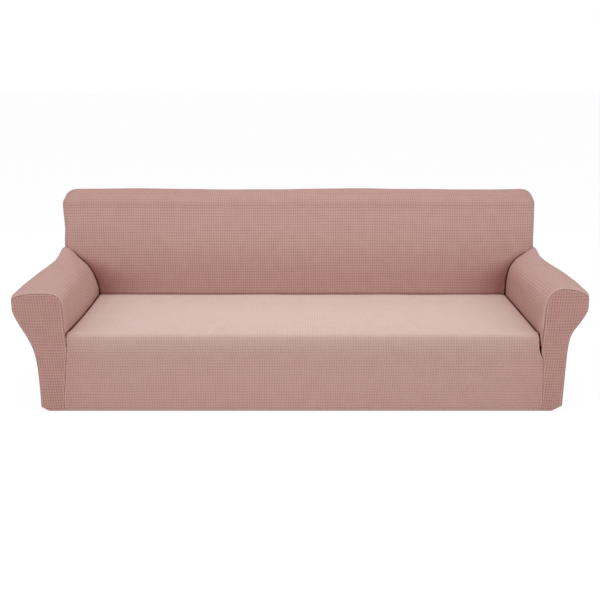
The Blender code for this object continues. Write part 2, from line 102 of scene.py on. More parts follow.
class Edge(IntEnum):
    """The two edges that meet in the seam beside the skirt, as columns of that seam's table."""

    SKIRT = 1
    ARM = 2


# Section of each arm, from the foot of its inside wall over the roll and down to the hem, in Column's order
ARM_SECTIONS = {
    Side.LEFT: (
        (1.1120, 0.345, 1.1120, 0.345, 0.000, 0.000),
        (1.1120, 0.390, 1.1120, 0.390, 0.000, 0.001),
        (1.1120, 0.440, 1.1120, 0.440, 0.000, 0.003),
        (1.1117, 0.462, 1.1145, 0.459, 0.000, 0.004),
        (1.1090, 0.500, 1.1245, 0.493, 0.000, 0.004),
        (1.1080, 0.548, 1.1390, 0.530, 0.000, 0.005),
        (1.1140, 0.587, 1.1580, 0.564, 0.000, 0.006),
        (1.1380, 0.612, 1.1810, 0.588, 0.001, 0.007),
        (1.1800, 0.622, 1.2060, 0.604, 0.006, 0.009),
        (1.2250, 0.623, 1.2320, 0.613, 0.024, 0.010),
        (1.2640, 0.622, 1.2620, 0.617, 0.046, 0.011),
        (1.2960, 0.618, 1.2960, 0.613, 0.052, 0.013),
        (1.3260, 0.611, 1.3180, 0.608, 0.013, 0.015),
        (1.3485, 0.595, 1.3390, 0.595, 0.003, 0.014),
        (1.3520, 0.560, 1.3510, 0.560, 0.000, 0.008),
        (1.3500, 0.520, 1.3510, 0.522, 0.000, 0.005),
        (1.3320, 0.466, 1.3340, 0.468, 0.000, 0.005),
        (1.3020, 0.400, 1.3040, 0.402, 0.000, 0.005),
        (1.2800, 0.335, 1.2820, 0.335, 0.000, 0.005),
        (1.2710, 0.255, 1.2740, 0.255, 0.000, 0.005),
        (1.2730, 0.140, 1.2750, 0.140, 0.000, 0.005),
        (1.2800, 0.000, 1.2800, 0.000, 0.000, 0.005),
    ),
    Side.RIGHT: (
        (1.1360, 0.345, 1.1360, 0.345, 0.000, 0.018),
        (1.1360, 0.390, 1.1360, 0.390, 0.000, 0.018),
        (1.1360, 0.440, 1.1360, 0.440, 0.000, 0.018),
        (1.1362, 0.462, 1.1363, 0.460, 0.000, 0.017),
        (1.1370, 0.505, 1.1390, 0.493, 0.000, 0.015),
        (1.1390, 0.550, 1.1440, 0.530, 0.000, 0.014),
        (1.1480, 0.592, 1.1550, 0.566, 0.000, 0.012),
        (1.1720, 0.626, 1.1740, 0.594, 0.001, 0.010),
        (1.2050, 0.643, 1.1980, 0.611, 0.006, 0.009),
        (1.2420, 0.645, 1.2300, 0.618, 0.020, 0.010),
        (1.2770, 0.642, 1.2590, 0.618, 0.040, 0.012),
        (1.3040, 0.634, 1.2850, 0.614, 0.052, 0.014),
        (1.3320, 0.622, 1.3110, 0.609, 0.014, 0.015),
        (1.3490, 0.603, 1.3380, 0.598, 0.003, 0.014),
        (1.3520, 0.568, 1.3520, 0.562, 0.000, 0.009),
        (1.3500, 0.526, 1.3510, 0.525, 0.000, 0.005),
        (1.3240, 0.468, 1.3260, 0.470, 0.000, 0.005),
        (1.2970, 0.422, 1.3020, 0.422, 0.000, 0.005),
        (1.2860, 0.380, 1.2900, 0.380, 0.000, 0.005),
        (1.2840, 0.300, 1.2860, 0.300, 0.000, 0.005),
        (1.2900, 0.160, 1.2900, 0.160, 0.000, 0.005),
        (1.2960, 0.000, 1.2960, 0.000, 0.000, 0.005),
    ),
}

# Seam between the skirt and each arm's front, from the hem up: height, the skirt's edge and the arm front's edge.
# On the right the two stand apart in a slim lens under the arm's wall.
FRONT_SEAMS = {
    Side.LEFT: (
        (0.000, 1.1660, 1.1660),
        (0.100, 1.1520, 1.1520),
        (0.200, 1.1360, 1.1360),
        (0.300, 1.1190, 1.1190),
        (0.345, 1.1120, 1.1120),
    ),
    Side.RIGHT: (
        (0.000, 1.1950, 1.1950),
        (0.100, 1.1880, 1.1880),
        (0.200, 1.1775, 1.1775),
        (0.284, 1.1665, 1.1670),
        (0.305, 1.1545, 1.1590),
        (0.330, 1.1455, 1.1552),
        (0.345, 1.1430, 1.1540),
        (0.356, 1.1405, 1.1540),
        (0.400, 1.1360, 1.1540),
    ),
}

# How much wider each end of the back stands than at its foot: height and extra width, from the foot up
BACK_ENDS = {
    Side.LEFT: ((0.690, 0.000), (0.760, -0.005), (0.820, -0.003), (0.900, 0.001)),
    Side.RIGHT: ((0.690, 0.000), (0.760, -0.002), (0.820, -0.003), (0.900, -0.005)),
}


def smooth_step(value: FloatArray) -> FloatArray:
    """A soft rise from 0 to 1 as value goes from 0 to 1: three times its square less twice its cube."""
    value = np.clip(value, 0.0, 1.0)
    return value * value * (3.0 - 2.0 * value)


def ramp(value: FloatArray, low: float, high: float) -> FloatArray:
    """A soft rise from 0 to 1 as value goes from low to high."""
    return smooth_step((value - low) / (high - low))


def blend(pair: Pair, share: FloatArray) -> FloatArray:
    """The value that lies a share of the way from the first of a pair to the second."""
    return pair[0] + (pair[1] - pair[0]) * share


def joined(*parts: FloatArray) -> FloatArray:
    """Arrays of one shape, side by side in a new last direction."""
    return np.stack(parts, axis=-1)


def groove(apart: FloatArray, depth: float, width: float) -> FloatArray:
    """Depth of the dip beside a sewn edge: the square of what share of its width is left, times its full depth."""
    return depth * np.clip(1.0 - apart / width, 0.0, 1.0) ** 2


def through(*stops: float, steps: tuple[int, ...]) -> FloatArray:
    """Join evenly spaced stretches into one rising or falling row of numbers.

    Args:
        stops: where each stretch starts, and where the last one ends.
        steps: how many even steps each stretch has.

    Returns:
        The numbers, with each stop among them once.
    """
    stretches = [
        np.linspace(start, end, count, endpoint=False) for start, end, count in zip(stops, stops[1:], steps)
    ]
    return np.append(np.concatenate(stretches), stops[-1])


def finer_ends(share: float, end_steps: int, steps: int) -> FloatArray:
    """Shares from 0 to 1 in even steps, with other even steps over a share at both ends."""
    return through(0.0, share, 1.0 - share, 1.0, steps=(end_steps, steps, end_steps))


def spline(table: tuple[tuple[float, ...], ...], stations: FloatArray) -> FloatArray:
    """Read a table at fractional row numbers.

    Between two rows the curve is the Catmull-Rom cubic through them and their neighbours.

    Args:
        table: rows of numbers.
        stations: fractional row numbers.

    Returns:
        One row of numbers for each station.
    """
    rows = np.asarray(table, dtype=float)
    padded = np.vstack([2.0 * rows[0] - rows[1], rows, 2.0 * rows[-1] - rows[-2]])
    low = np.clip(np.floor(stations).astype(int), 0, len(rows) - 2)
    share = (stations - low)[:, None]
    before, start, end, after = (padded[low + step] for step in range(4))
    bend = 2.0 * before - 5.0 * start + 4.0 * end - after
    twist = 3.0 * (start - end) + after - before
    return start + 0.5 * share * (end - before + share * (bend + share * twist))


def run_along(points: FloatArray, axis: int, start: int) -> FloatArray:
    """Measure the way along a grid's lines.

    The way is the running sum of the distances between neighbours.

    Args:
        points: a grid of points, rows by columns by 3.
        axis: 0 along the columns, 1 along the rows.
        start: index of the line where the way is 0.

    Returns:
        The signed way to each point, rows by columns.
    """
    steps = np.linalg.norm(np.diff(points, axis=axis), axis=-1)
    first = np.zeros_like(np.take(steps, [0], axis=axis))
    way = np.concatenate([first, np.cumsum(steps, axis=axis)], axis=axis)
    return way - np.take(way, [start], axis=axis)


def nearest_on_line(points: FloatArray, line: FloatArray) -> tuple[FloatArray, FloatArray]:
    """Find how far points are from a line of many close points, and where along it.

    Args:
        points: any array of 2-D points.
        line: the line's own points, count by 2.

    Returns:
        The distance to the line, and the way along the line to the nearest point on it.
    """
    apart = np.linalg.norm(points[..., None, :] - line, axis=-1)
    nearest = apart.argmin(axis=-1)
    way = np.append(0.0, np.cumsum(np.linalg.norm(np.diff(line, axis=0), axis=-1)))
    return apart.min(axis=-1), way[nearest]


def outward_normals(points: FloatArray, flip: bool) -> FloatArray:
    """Unit normals of a grid: the cross product of its two directions, turned round where flip is set."""
    normal = np.cross(np.gradient(points, axis=1), np.gradient(points, axis=0))
    length = np.maximum(np.linalg.norm(normal, axis=-1, keepdims=True), TINY)
    return np.where(length > TINY, normal / length, 0.0) * (1.0 if flip else -1.0)


def section_normals(out: FloatArray, up: FloatArray) -> tuple[FloatArray, FloatArray]:
    """Outward directions across a section: each point's way along it turned a quarter."""
    along_out = np.gradient(out, axis=-1)
    along_up = np.gradient(up, axis=-1)
    length = np.hypot(along_out, along_up)
    return -along_up / length, along_out / length


@dataclass(frozen=True)
class Fold:
    """A soft ridge of the cloth along a straight run, or a trough where its height is negative.

    Attributes:
        start: one end of the run, in the two directions of the panel it lies on.
        end: the other end.
        width: how far from the run its height has fallen to a third.
        height: how far it stands up from the cloth.
    """

    start: Pair
    end: Pair
    width: float
    height: float

    def relief(self, first: FloatArray, second: FloatArray) -> FloatArray:
        """Height of the fold: a bell over the distance from its run, which fades out towards both ends.

        Args:
            first: where the points lie in the panel's first direction.
            second: the same in its second direction.

        Returns:
            How far the fold lifts each point.
        """
        start, end = np.array(self.start), np.array(self.end)
        way = end - start
        place = joined(first, second) - start
        share = np.clip(place @ way / (way @ way), 0.0, 1.0)
        apart = np.linalg.norm(place - share[..., None] * way, axis=-1)
        fade = 1.0 - (2.0 * share - 1.0) ** 4
        return self.height * fade * np.exp(-((apart / self.width) ** 2))


def with_folds(
    relief: FloatArray, folds: tuple[Fold, ...], first: FloatArray, second: FloatArray, where: FloatArray | float = 1.0
) -> FloatArray:
    """Add folds to a panel's relief.

    Args:
        relief: the relief so far.
        folds: the folds to add.
        first: where the points lie in the panel's first direction.
        second: the same in its second direction.
        where: how much of the folds each point gets.

    Returns:
        The relief with its folds.
    """
    for fold in folds:
        relief = relief + fold.relief(first, second) * where
    return relief


@dataclass(frozen=True)
class Sway:
    """The slow unevenness of cloth that is stretched by hand.

    Attributes:
        height: how far it lifts the cloth at most.
        span: the length of its main wave.
        turn: where the waves start, so that no two panels sway alike.
    """

    height: float
    span: float
    turn: float

    def relief(self, first: FloatArray, second: FloatArray) -> FloatArray:
        """Lift of the cloth: three crossing waves of unlike lengths, in shares of 5, 3 and 2 tenths."""
        pace = 2.0 * math.pi / self.span
        broad = np.sin(pace * first + self.turn) * np.cos(0.83 * pace * second - self.turn)
        slanted = np.sin(1.71 * pace * (first + 0.6 * second) + 2.3 * self.turn)
        small = np.sin(2.9 * pace * (second - 0.4 * first) + 4.1 * self.turn)
        return self.height * (0.5 * broad + 0.3 * slanted + 0.2 * small)


@dataclass(frozen=True)
class CoverShape:
    """The cover's driving sizes and the curves that its panels share.

    Attributes are named for what they measure. Those given for each side are in the order left, right.
    """

    depth: float = 0.860
    seat_height: float = 0.410
    seat_depth: float = 0.588
    back_top: float = 0.934
    cloth: float = 0.0025
    seam_gap: float = 0.0004
    tuck_foot: float = 0.345
    face_depth_low: float = 0.563
    face_depth_top: float = 0.664
    back_half: Pair = (1.296, 1.285)
    corner_radius: float = 0.056
    edge_fillet: float = 0.044
    flat_steps: int = 3
    fillet_steps: int = 10
    end_steps: int = 16
    hem_turn: float = 0.018
    hem_radius: float = 0.003
    hem_steps: int = 4
    hem_calm: float = 0.06
    hem_lift: Pair = (0.020, 0.026)
    hem_lift_reach: Pair = (0.032, 0.045)
    hem_lift_top: float = 0.120
    arm_rounding: float = 0.030
    roll_swell: Pair = (0.006, 0.011)
    wall_swell: Pair = (0.008, 0.0)
    wall_swell_up: Pair = (0.430, 0.560)
    wall_swell_out: Pair = (1.130, 1.190)
    swell_out: Pair = (1.200, 1.280)
    swell_up: Pair = (0.480, 0.560)
    web_start: float = 0.400
    web_full: float = 0.605
    arm_tuck_start: float = 0.560
    arm_tuck_end: float = 0.622
    arm_corner_end: float = 0.665
    crease_foot: float = 2.0
    crease_first: float = 3.0
    crease_steps: int = 44
    roll_stations: Pair = (8.0, 13.0)
    roll_points: int = 501
    lane_step: float = 0.0004

    @property
    def rim_steps(self) -> int:
        """Steps over the back's edge, from its face to the rear."""
        return self.flat_steps + self.fillet_steps + self.end_steps

    @property
    def rear(self) -> float:
        """Depth at which the wraps and the inside back end, before the rear panel's cloth."""
        return self.depth - self.cloth - self.seam_gap

    def of_side(self, pair: Pair, side: Side) -> float:
        """The value of a left and right pair that belongs to a side."""
        return pair[0] if side is Side.LEFT else pair[1]

    def seam_out(self, side: Side, up: FloatArray, edge: Edge) -> FloatArray:
        """How far out one edge of the seam beside the skirt stands at a height."""
        rows = np.array(FRONT_SEAMS[side])
        return np.interp(up, rows[:, 0], rows[:, edge])

    def lift_at(self, side: Side, distance: FloatArray) -> FloatArray:
        """How far the elastic draws up the hem at a distance from a corner: most at the corner, then evenly less."""
        reach = self.of_side(self.hem_lift_reach, side)
        return self.of_side(self.hem_lift, side) * np.clip(1.0 - distance / reach, 0.0, 1.0)

    def hem_profile(self) -> tuple[FloatArray, FloatArray]:
        """The way round the turned hem: how far under the cover and how far over the floor each step lies."""
        turn = np.linspace(0.0, QUARTER_TURN, self.hem_steps + 1)[1:]
        under = np.append(self.hem_radius * (1.0 - np.cos(turn)), self.hem_turn)
        return under, np.append(self.hem_radius * (1.0 - np.sin(turn)), 0.0)

    def turn_under(self, points: FloatArray, inwards: float) -> tuple[FloatArray, int]:
        """Turn a grid's foot under by a quarter round and a flat strip.

        Args:
            points: the grid, from its foot up.
            inwards: the way in depth that leads under the cover, 1 or -1.

        Returns:
            The longer grid, and how many rows it gained.
        """
        turned = [points[:1] + [0.0, inwards * self.hem_turn, 0.0]]
        points[0, :, 2] += self.hem_radius
        for angle in np.linspace(QUARTER_TURN, 0.0, self.hem_steps, endpoint=False):
            step = self.hem_radius * np.array([0.0, inwards * (1.0 - math.cos(angle)), -math.sin(angle)])
            turned.append(points[:1] + step)
        return np.vstack(turned + [points]), len(turned)

    def swell_at(self, side: Side, depth: FloatArray) -> FloatArray:
        """How far the foot of an arm's inside wall swells towards the seat: a sine over its depth."""
        return self.of_side(self.wall_swell, side) * np.sin(math.pi * np.clip(depth / self.arm_tuck_start, 0.0, 1.0))

    def face_depth(self, up: FloatArray) -> FloatArray:
        """Depth of the inside back at a height: it leans back evenly, by about 11 degrees."""
        share = (np.minimum(up, self.back_top) - self.seat_height) / (self.back_top - self.seat_height)
        return self.face_depth_low + (self.face_depth_top - self.face_depth_low) * share

    def arm_points(self, side: Side, stations: FloatArray, depth: FloatArray) -> tuple[FloatArray, FloatArray]:
        """Work out an arm's wrap.

        The section changes evenly from its front shape to its back shape, and half way its outer shoulder swells
        out and the foot of its inside wall swells in. Close to the back of the sofa the web is added, by the square
        of the way there. At the very front the section is drawn in against its normals, as a quarter round.

        Args:
            side: which arm.
            stations: fractional rows of the arm's table.
            depth: depths at which the section is wanted.

        Returns:
            Distance out and height, each of them depths by stations.
        """
        part = spline(ARM_SECTIONS[side], stations).T
        far = np.clip(depth / self.arm_tuck_start, 0.0, 1.0)[:, None]
        web = np.clip((depth - self.web_start) / (self.web_full - self.web_start), 0.0, 1.0)[:, None] ** 2
        out = part[Column.FRONT_OUT] * (1.0 - far) + part[Column.BACK_OUT] * far
        up = part[Column.FRONT_UP] * (1.0 - far) + part[Column.BACK_UP] * far + part[Column.WEB] * web
        normal_out, normal_up = section_normals(out, up)
        shoulder = ramp(out, *self.swell_out) * ramp(up, *self.swell_up)
        short = np.clip(1.0 - depth / self.arm_rounding, 0.0, 1.0)[:, None]
        drawn = part[Column.SET_IN] * (1.0 - np.sqrt(1.0 - short * short))
        moved = self.of_side(self.roll_swell, side) * np.sin(math.pi * far) * shoulder - drawn
        lift = self.lift_at(side, depth) + self.lift_at(side, self.depth - depth)
        wall = 1.0 - ramp(up, *self.wall_swell_up)
        inside = 1.0 - ramp(out, *self.wall_swell_out)
        out = out + moved * normal_out - self.swell_at(side, depth)[:, None] * wall * inside
        up = up + moved * normal_up
        return out, up + lift[:, None] * np.clip(1.0 - up / self.hem_lift_top, 0.0, 1.0)

    def rim_profile(self) -> tuple[FloatArray, FloatArray, FloatArray]:
        """The way over the back's edge: a flat strip, a quarter round, and then straight on to the rear.

        Returns:
            How far out and how far back each step goes, and its share of the straight stretch.
        """
        flat = self.corner_radius - self.edge_fillet
        turn = np.linspace(0.0, QUARTER_TURN, self.fillet_steps + 1)[1:]
        straight = np.linspace(0.0, 1.0, self.end_steps + 1)[1:]
        level = np.linspace(0.0, flat, self.flat_steps + 1)
        bent = flat + self.edge_fillet * np.sin(turn)
        out = np.concatenate([level, bent, np.full(len(straight), self.corner_radius)])
        round_back = self.edge_fillet * (1.0 - np.cos(turn))
        back = np.concatenate([np.zeros(len(level)), round_back, np.full(len(straight), self.edge_fillet)])
        share = np.concatenate([np.zeros(len(level) + len(turn)), straight])
        return out, back, share

    def station_at(self, side: Side, out: FloatArray) -> FloatArray:
        """Stations on the top of an arm's back section that stand this far out."""
        fine = np.linspace(*self.roll_stations, self.roll_points)
        reach = spline(ARM_SECTIONS[side], fine)[:, Column.BACK_OUT]
        return np.interp(out, reach, fine)

    def crease(self, side: Side) -> tuple[FloatArray, FloatArray]:
        """Lanes and foot heights of the inside back's columns beside an arm, a seam's gap off its wrap.

        Beside the arm's wall and roll the lanes follow the section. Round the back's own edge they follow its
        profile. No two lanes come closer than a least step.
        """
        profile = self.rim_profile()[0][: self.flat_steps + self.fillet_steps + 1]
        rim_lanes = self.of_side(self.back_half, side) - self.corner_radius + profile
        on_rim = self.station_at(side, rim_lanes)
        beside = np.linspace(self.crease_first, on_rim[0], self.crease_steps, endpoint=False)
        beside = np.append(self.crease_foot, beside)
        stations = np.concatenate([beside, on_rim])
        out, up = self.arm_points(side, stations, np.array([self.arm_tuck_end]))
        normal_out, normal_up = section_normals(out[0], up[0])
        lanes = out[0] + self.seam_gap * normal_out
        lanes[len(beside):] = rim_lanes
        lanes[0] = out[0, 0] - self.seam_gap
        least = self.lane_step * np.arange(len(lanes))
        lanes = np.maximum.accumulate(lanes - least) + least
        feet = up[0] + 2.0 * self.seam_gap * np.maximum(normal_up, 0.5)
        feet[-1] = feet.max()
        return lanes, feet


@dataclass
class ClothGrid:
    """A panel worked out as a grid, before it becomes a mesh.

    Attributes:
        points: the outer face's points, rows by columns by (across, depth, up).
        keep: which cells of the grid are cloth.
        weave: where each point lies on the flat cloth, rows by columns by 2, in metres.
        flip: whether the cells are turned over so that they face outwards.
        seam: distance from the nearest sewn edge and the way along it, rows by columns by 2.
        hem: height over the hem and the way along it, rows by columns by 2.
        crevice: painted shade, how far each point is darkened to near-black deep in a narrow crevice, 0 to 1.
        shade: how much of the light near a crevice is lost between cloth and cloth, 0 to 1.
        pale: painted highlight, how much paler the cloth is painted where more light falls on it, 0 to 1.
    """

    points: FloatArray
    keep: BoolArray
    weave: FloatArray
    flip: bool
    seam: FloatArray
    hem: FloatArray
    crevice: FloatArray | None = None
    shade: FloatArray | None = None
    pale: FloatArray | None = None

    def lift(self, relief: FloatArray) -> None:
        """Move the points out along the cloth's normals by relief."""
        self.points = self.points + relief[..., None] * outward_normals(self.points, self.flip)

    def area(self) -> float:
        """Area of the kept cells: half the cross product of each cell's diagonals."""
        first = self.points[1:, 1:] - self.points[:-1, :-1]
        second = self.points[1:, :-1] - self.points[:-1, 1:]
        return float((0.5 * np.linalg.norm(np.cross(first, second), axis=-1))[self.keep].sum())


def add_object(name: str, data: bpy.types.ID) -> bpy.types.Object:
    """Make an object of some data and put it in the scene."""
    made = bpy.data.objects.new(name, data)
    bpy.context.scene.collection.objects.link(made)
    return made


def all_cells(points: FloatArray) -> BoolArray:
    """A mask that keeps every cell of a grid."""
    return np.ones((points.shape[0] - 1, points.shape[1] - 1), dtype=bool)


def cut_sides(keep: BoolArray, rows: slice, columns: int) -> None:
    """Take a number of columns at both sides out of some rows of the kept cells."""
    keep[rows, :columns] = False
    keep[rows, -columns:] = False


def hem_of(points: FloatArray) -> FloatArray:
    """Height over the hem, and the way across."""
    return joined(points[..., 2], points[..., 0])


def no_edge(points: FloatArray) -> FloatArray:
    """A seam or hem that lies too far off to show."""
    return np.ones(points.shape[:2] + (2,))


class Panel:
    """A sewn panel of the cover. Each kind works out its own grid and says what cut of cloth it comes from."""

    shape: CoverShape
    node: str
    cut: Pair
    cut_share: float
    sewn_to: tuple[str, ...]
    contrast: float = 1.0
    # Painted highlight: how much paler the cloth is painted over a seam's turnings
    ridge: float = 0.45

    def grid(self) -> ClothGrid:
        """Work out the panel's grid."""
        raise NotImplementedError

    def build(self, knit: "WaffleKnit") -> bpy.types.Object:
        """Make the panel's mesh, give it the cloth's thickness and its finish, and tie it to the frame.

        Args:
            knit: the finish that the panel is made of.

        Returns:
            The finished piece.
        """
        grid = self.grid()
        piece = self.make_mesh(grid)
        thickness = piece.modifiers.new("cloth", "SOLIDIFY")
        thickness.thickness = self.shape.cloth
        thickness.offset = -1.0
        piece.data.materials.append(knit.material(self.node, self.contrast, self.ridge))
        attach(piece, "root")
        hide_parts(self.node)
        area = self.cut[0] * self.cut[1] * self.cut_share
        report = "%s: %d cells, %.2f square metres stretched, %.2f cut"
        log.info(report, piece.name, grid.keep.sum(), grid.area(), area)
        return piece

    def make_mesh(self, grid: ClothGrid) -> bpy.types.Object:
        """Turn a grid into a mesh object with its cloth coordinates and masks."""
        rows, columns = grid.points.shape[:2]
        points = grid.points.reshape(-1, 3) - [0.0, self.shape.depth / 2.0, 0.0]
        index = np.arange(rows * columns).reshape(rows, columns)
        corners = [index[:-1, :-1], index[:-1, 1:], index[1:, 1:], index[1:, :-1]]
        faces = np.stack(corners[::-1] if grid.flip else corners, axis=-1)[grid.keep]
        mesh = bpy.data.meshes.new(self.node + "_panel")
        mesh.from_pydata(points, [], faces)
        weave = grid.weave.reshape(-1, 2)[faces.ravel()]
        mesh.uv_layers.new(name="weave").data.foreach_set("uv", weave.ravel().astype(np.float32))
        masks = {
            "crevice": grid.crevice,
            "shade": grid.shade,
            "pale": grid.pale,
            "seam_gap": grid.seam[..., 0],
            "seam_run": grid.seam[..., 1],
            "hem_gap": grid.hem[..., 0],
            "hem_run": grid.hem[..., 1],
        }
        for name, values in masks.items():
            if values is None:
                values = np.zeros((rows, columns))
            layer = mesh.attributes.new(name, "FLOAT", "POINT")
            layer.data.foreach_set("value", values.ravel().astype(np.float32))
        self.close_points(mesh)
        mesh.shade_smooth()
        return add_object(self.node + "_panel", mesh)

    @staticmethod
    def close_points(mesh: bpy.types.Mesh) -> None:
        """Join points that meet, as at the foot of a tuck, and drop those on no face."""
        cells = bmesh.new()
        cells.from_mesh(mesh)
        bmesh.ops.remove_doubles(cells, verts=cells.verts, dist=MEETING)
        loose = [point for point in cells.verts if not point.link_faces]
        bmesh.ops.delete(cells, geom=loose, context="VERTS")
        cells.to_mesh(mesh)
        cells.free()


@dataclass
class SeatPanel(Panel):
    """The seat deck and the skirt in one panel.

    Its side edges roll down beside the arms and run on as flat tucks. At the rear the deck rolls down into the
    crevice in front of the inside back, and at the foot of the skirt the hem is turned under.
    """

    shape: CoverShape
    node: str = "seat_front"
    cut: Pair = (2.10, 1.10)
    cut_share: float = 0.97
    sewn_to: tuple[str, ...] = ("inner_back", "arm_front_left", "arm_front_right")
    deck_roll: float = 0.011
    deck_tuck: float = 0.046
    front_radius: float = 0.033
    skirt_roll_share: float = 0.16
    gap_tuck_share: float = 0.52
    gap_heights: Pair = (0.250, 0.290)
    furrow_off: float = 0.0026
    turned_share: float = 0.85
    calm_reach: float = 0.08
    edge_shade: float = 0.45
    edge_shade_reach: float = 0.008
    shrink_reach: float = 0.060
    crown: float = 0.008
    crown_reach: float = 0.560
    crevice_reach: float = 0.007
    crevice_under: float = 0.001
    pale_edge: float = 0.50
    pale_reach: float = 0.080
    pale_skirt: Pair = (0.23, 0.44)
    pale_skirt_reach: float = 0.050
    contrast: float = 0.84
    pale_depths: tuple[float, ...] = (0.020, 0.120, 0.300, 0.540, 0.588)
    pale_along: tuple[float, ...] = (0.87, 0.92, 1.00, 1.02, 1.12)
    roll_steps: int = 9
    tuck_steps: int = 2
    side_share: float = 0.035
    side_steps: int = 14
    middle_steps: int = 170
    deck_steps: int = 56
    skirt_steps: int = 64
    sway: Sway = Sway(0.0012, 0.62, 0.7)
    folds: tuple[Fold, ...] = (
        Fold((1.158, 0.296), (1.166, 0.215), 0.0035, 0.0016),
        Fold((1.148, 0.300), (1.170, 0.185), 0.0050, -0.0012),
        Fold((1.126, 0.315), (1.156, 0.190), 0.0070, 0.0010),
        Fold((-1.098, 0.330), (-1.128, 0.190), 0.0050, 0.0009),
    )

    def quarter_roll(self, radius: float) -> tuple[FloatArray, FloatArray]:
        """A quarter round: how far in from its edge and down from its top each point lies, edge first."""
        turns = np.linspace(0.0, QUARTER_TURN, self.roll_steps + 1)
        return radius * (1.0 - np.cos(turns)), radius * (1.0 - np.sin(turns))

    def path(self) -> tuple[FloatArray, FloatArray, FloatArray]:
        """The panel's way from its rear tuck over the deck, round the front edge and down to the turned hem.

        Returns:
            Depth, height and facing of each row. Facing is 0 where the cloth faces up and a quarter turn where it
            faces forward.
        """
        shape = self.shape
        rear_in, rear_down = self.quarter_roll(self.deck_roll)
        front_in, front_down = self.quarter_roll(self.front_radius)
        tuck = np.linspace(self.deck_tuck, 0.0, self.tuck_steps, endpoint=False)
        deck = np.linspace(shape.seat_depth - self.deck_roll, self.front_radius, self.deck_steps + 1)[1:-1]
        skirt = np.linspace(shape.seat_height - self.front_radius, shape.hem_radius, self.skirt_steps + 1)[1:]
        hem_depth, hem_up = shape.hem_profile()
        tuck_up = shape.seat_height - self.deck_roll - tuck
        depth = np.concatenate([
            np.full(len(tuck), shape.seat_depth), shape.seat_depth - rear_in, deck, front_in[::-1],
            np.zeros(len(skirt)), hem_depth,
        ])
        up = np.concatenate([
            tuck_up, shape.seat_height - rear_down, np.full(len(deck), shape.seat_height),
            shape.seat_height - front_down[::-1], skirt, hem_up,
        ])
        behind = np.zeros(len(tuck) + len(rear_in) + len(deck))
        bend = np.linspace(0.0, QUARTER_TURN, len(front_in))
        facing = np.concatenate([behind, bend, np.full(len(skirt) + len(hem_depth), QUARTER_TURN)])
        return depth, up, facing

    def grid(self) -> ClothGrid:
        """Work out the panel's grid.

        A side edge drops by its roll against the way the cloth faces. Down on the deck, back on the skirt, and in
        between round the front edge. Its tuck runs further back where the skirt stands open beside the arm's front.
        The deck is crowned by a squared sine over its depth.
        """
        shape = self.shape
        depth, up, facing = self.path()
        roll_in, roll_down = self.quarter_roll(self.deck_roll)
        tuck = np.linspace(self.deck_tuck, 0.0, self.tuck_steps, endpoint=False)
        roll_in = np.append(np.zeros(len(tuck)), roll_in)
        roll_down = np.append(self.deck_roll + tuck, roll_down)
        edge = len(roll_in)
        near_front = smooth_step(1.0 - depth / self.shrink_reach)
        share = 1.0 - (1.0 - self.skirt_roll_share) * near_front
        size = np.where(facing > 0.0, self.skirt_roll_share, share)[:, None]
        middle = finer_ends(self.side_share, self.side_steps, self.middle_steps)[1:-1]
        open_way = ramp(up, *self.gap_heights)
        deeper = (self.gap_tuck_share - self.skirt_roll_share) * open_way * (facing > 0.0)
        edge_drop = roll_down * (size + deeper[:, None] * (np.arange(edge) < len(tuck)))
        drop = np.hstack([edge_drop, np.zeros((len(depth), len(middle))), edge_drop[:, ::-1]])
        level = up[:, None] - drop * np.cos(facing)[:, None]
        level = np.where(facing[:, None] > 0.0, level, np.maximum(level, shape.tuck_foot))
        back = depth[:, None] + drop * np.sin(facing)[:, None]
        left = -(self.edge_out(Side.LEFT, level[:, :edge], back[:, :edge]) - roll_in * size)
        right = self.edge_out(Side.RIGHT, level[:, -edge:], back[:, -edge:]) - roll_in[::-1] * size
        between = left[:, -1:] + (right[:, :1] - left[:, -1:]) * middle
        across = np.hstack([left, between, right])
        bow = 1.0 - np.clip(np.abs(across) / ARM_SECTIONS[Side.LEFT][0][Column.FRONT_OUT], 0.0, 1.0) ** 4
        swell = np.clip((depth - self.front_radius) / (self.crown_reach - self.front_radius), 0.0, 1.0)
        crown = self.crown * np.sin(math.pi * swell) ** 2 * (facing == 0.0)
        points = joined(across, back, level + crown[:, None] * bow)
        keep = all_cells(points)
        hem_rows = shape.hem_steps + 1
        cut_sides(keep, slice(self.tuck_steps), self.tuck_steps)
        cut_sides(keep, slice(-hem_rows, None), edge - 1)
        weave = joined(run_along(points, 1, points.shape[1] // 2), self.way_down(points))
        grid = ClothGrid(points, keep, weave, True, self.side_seam(points), hem_of(points))
        # Painted shade in the crevices round the deck and along its sides by the arms, and a painted highlight over
        # the deck and the top of the skirt
        grid.crevice = self.crevices(points, facing)
        grid.pale = self.pale(points, facing)
        grid.shade = self.edge_shade * np.exp(-(grid.seam[..., 0] - self.furrow_off) / self.edge_shade_reach)
        grid.shade = grid.shade * (1.0 - self.turned(facing))
        on_deck = np.clip(1.0 - facing / QUARTER_TURN, 0.0, 1.0)[:, None]
        level_way = np.where(on_deck > 0.5, back, level)
        calm = smooth_step((0.5 * (right[:, -1:] - left[:, :1]) - np.abs(across)) / self.calm_reach)
        relief = self.sway.relief(across, grid.weave[..., 1]) * calm * smooth_step(level / shape.hem_calm)
        grid.lift(with_folds(relief, self.folds, across, level_way, on_deck < 0.5))
        return grid

    def edge_out(self, side: Side, level: FloatArray, back: FloatArray) -> FloatArray:
        """How far out a side edge stands at a height and depth, a seam's gap off its neighbour."""
        return self.shape.seam_out(side, level, Edge.SKIRT) - self.shape.swell_at(side, back) - self.shape.seam_gap

    def turned(self, facing: FloatArray) -> FloatArray:
        """How far each row belongs to the skirt: 0 on the deck and 1 where the front edge is nearly round."""
        return smooth_step(facing / QUARTER_TURN / self.turned_share)[:, None]

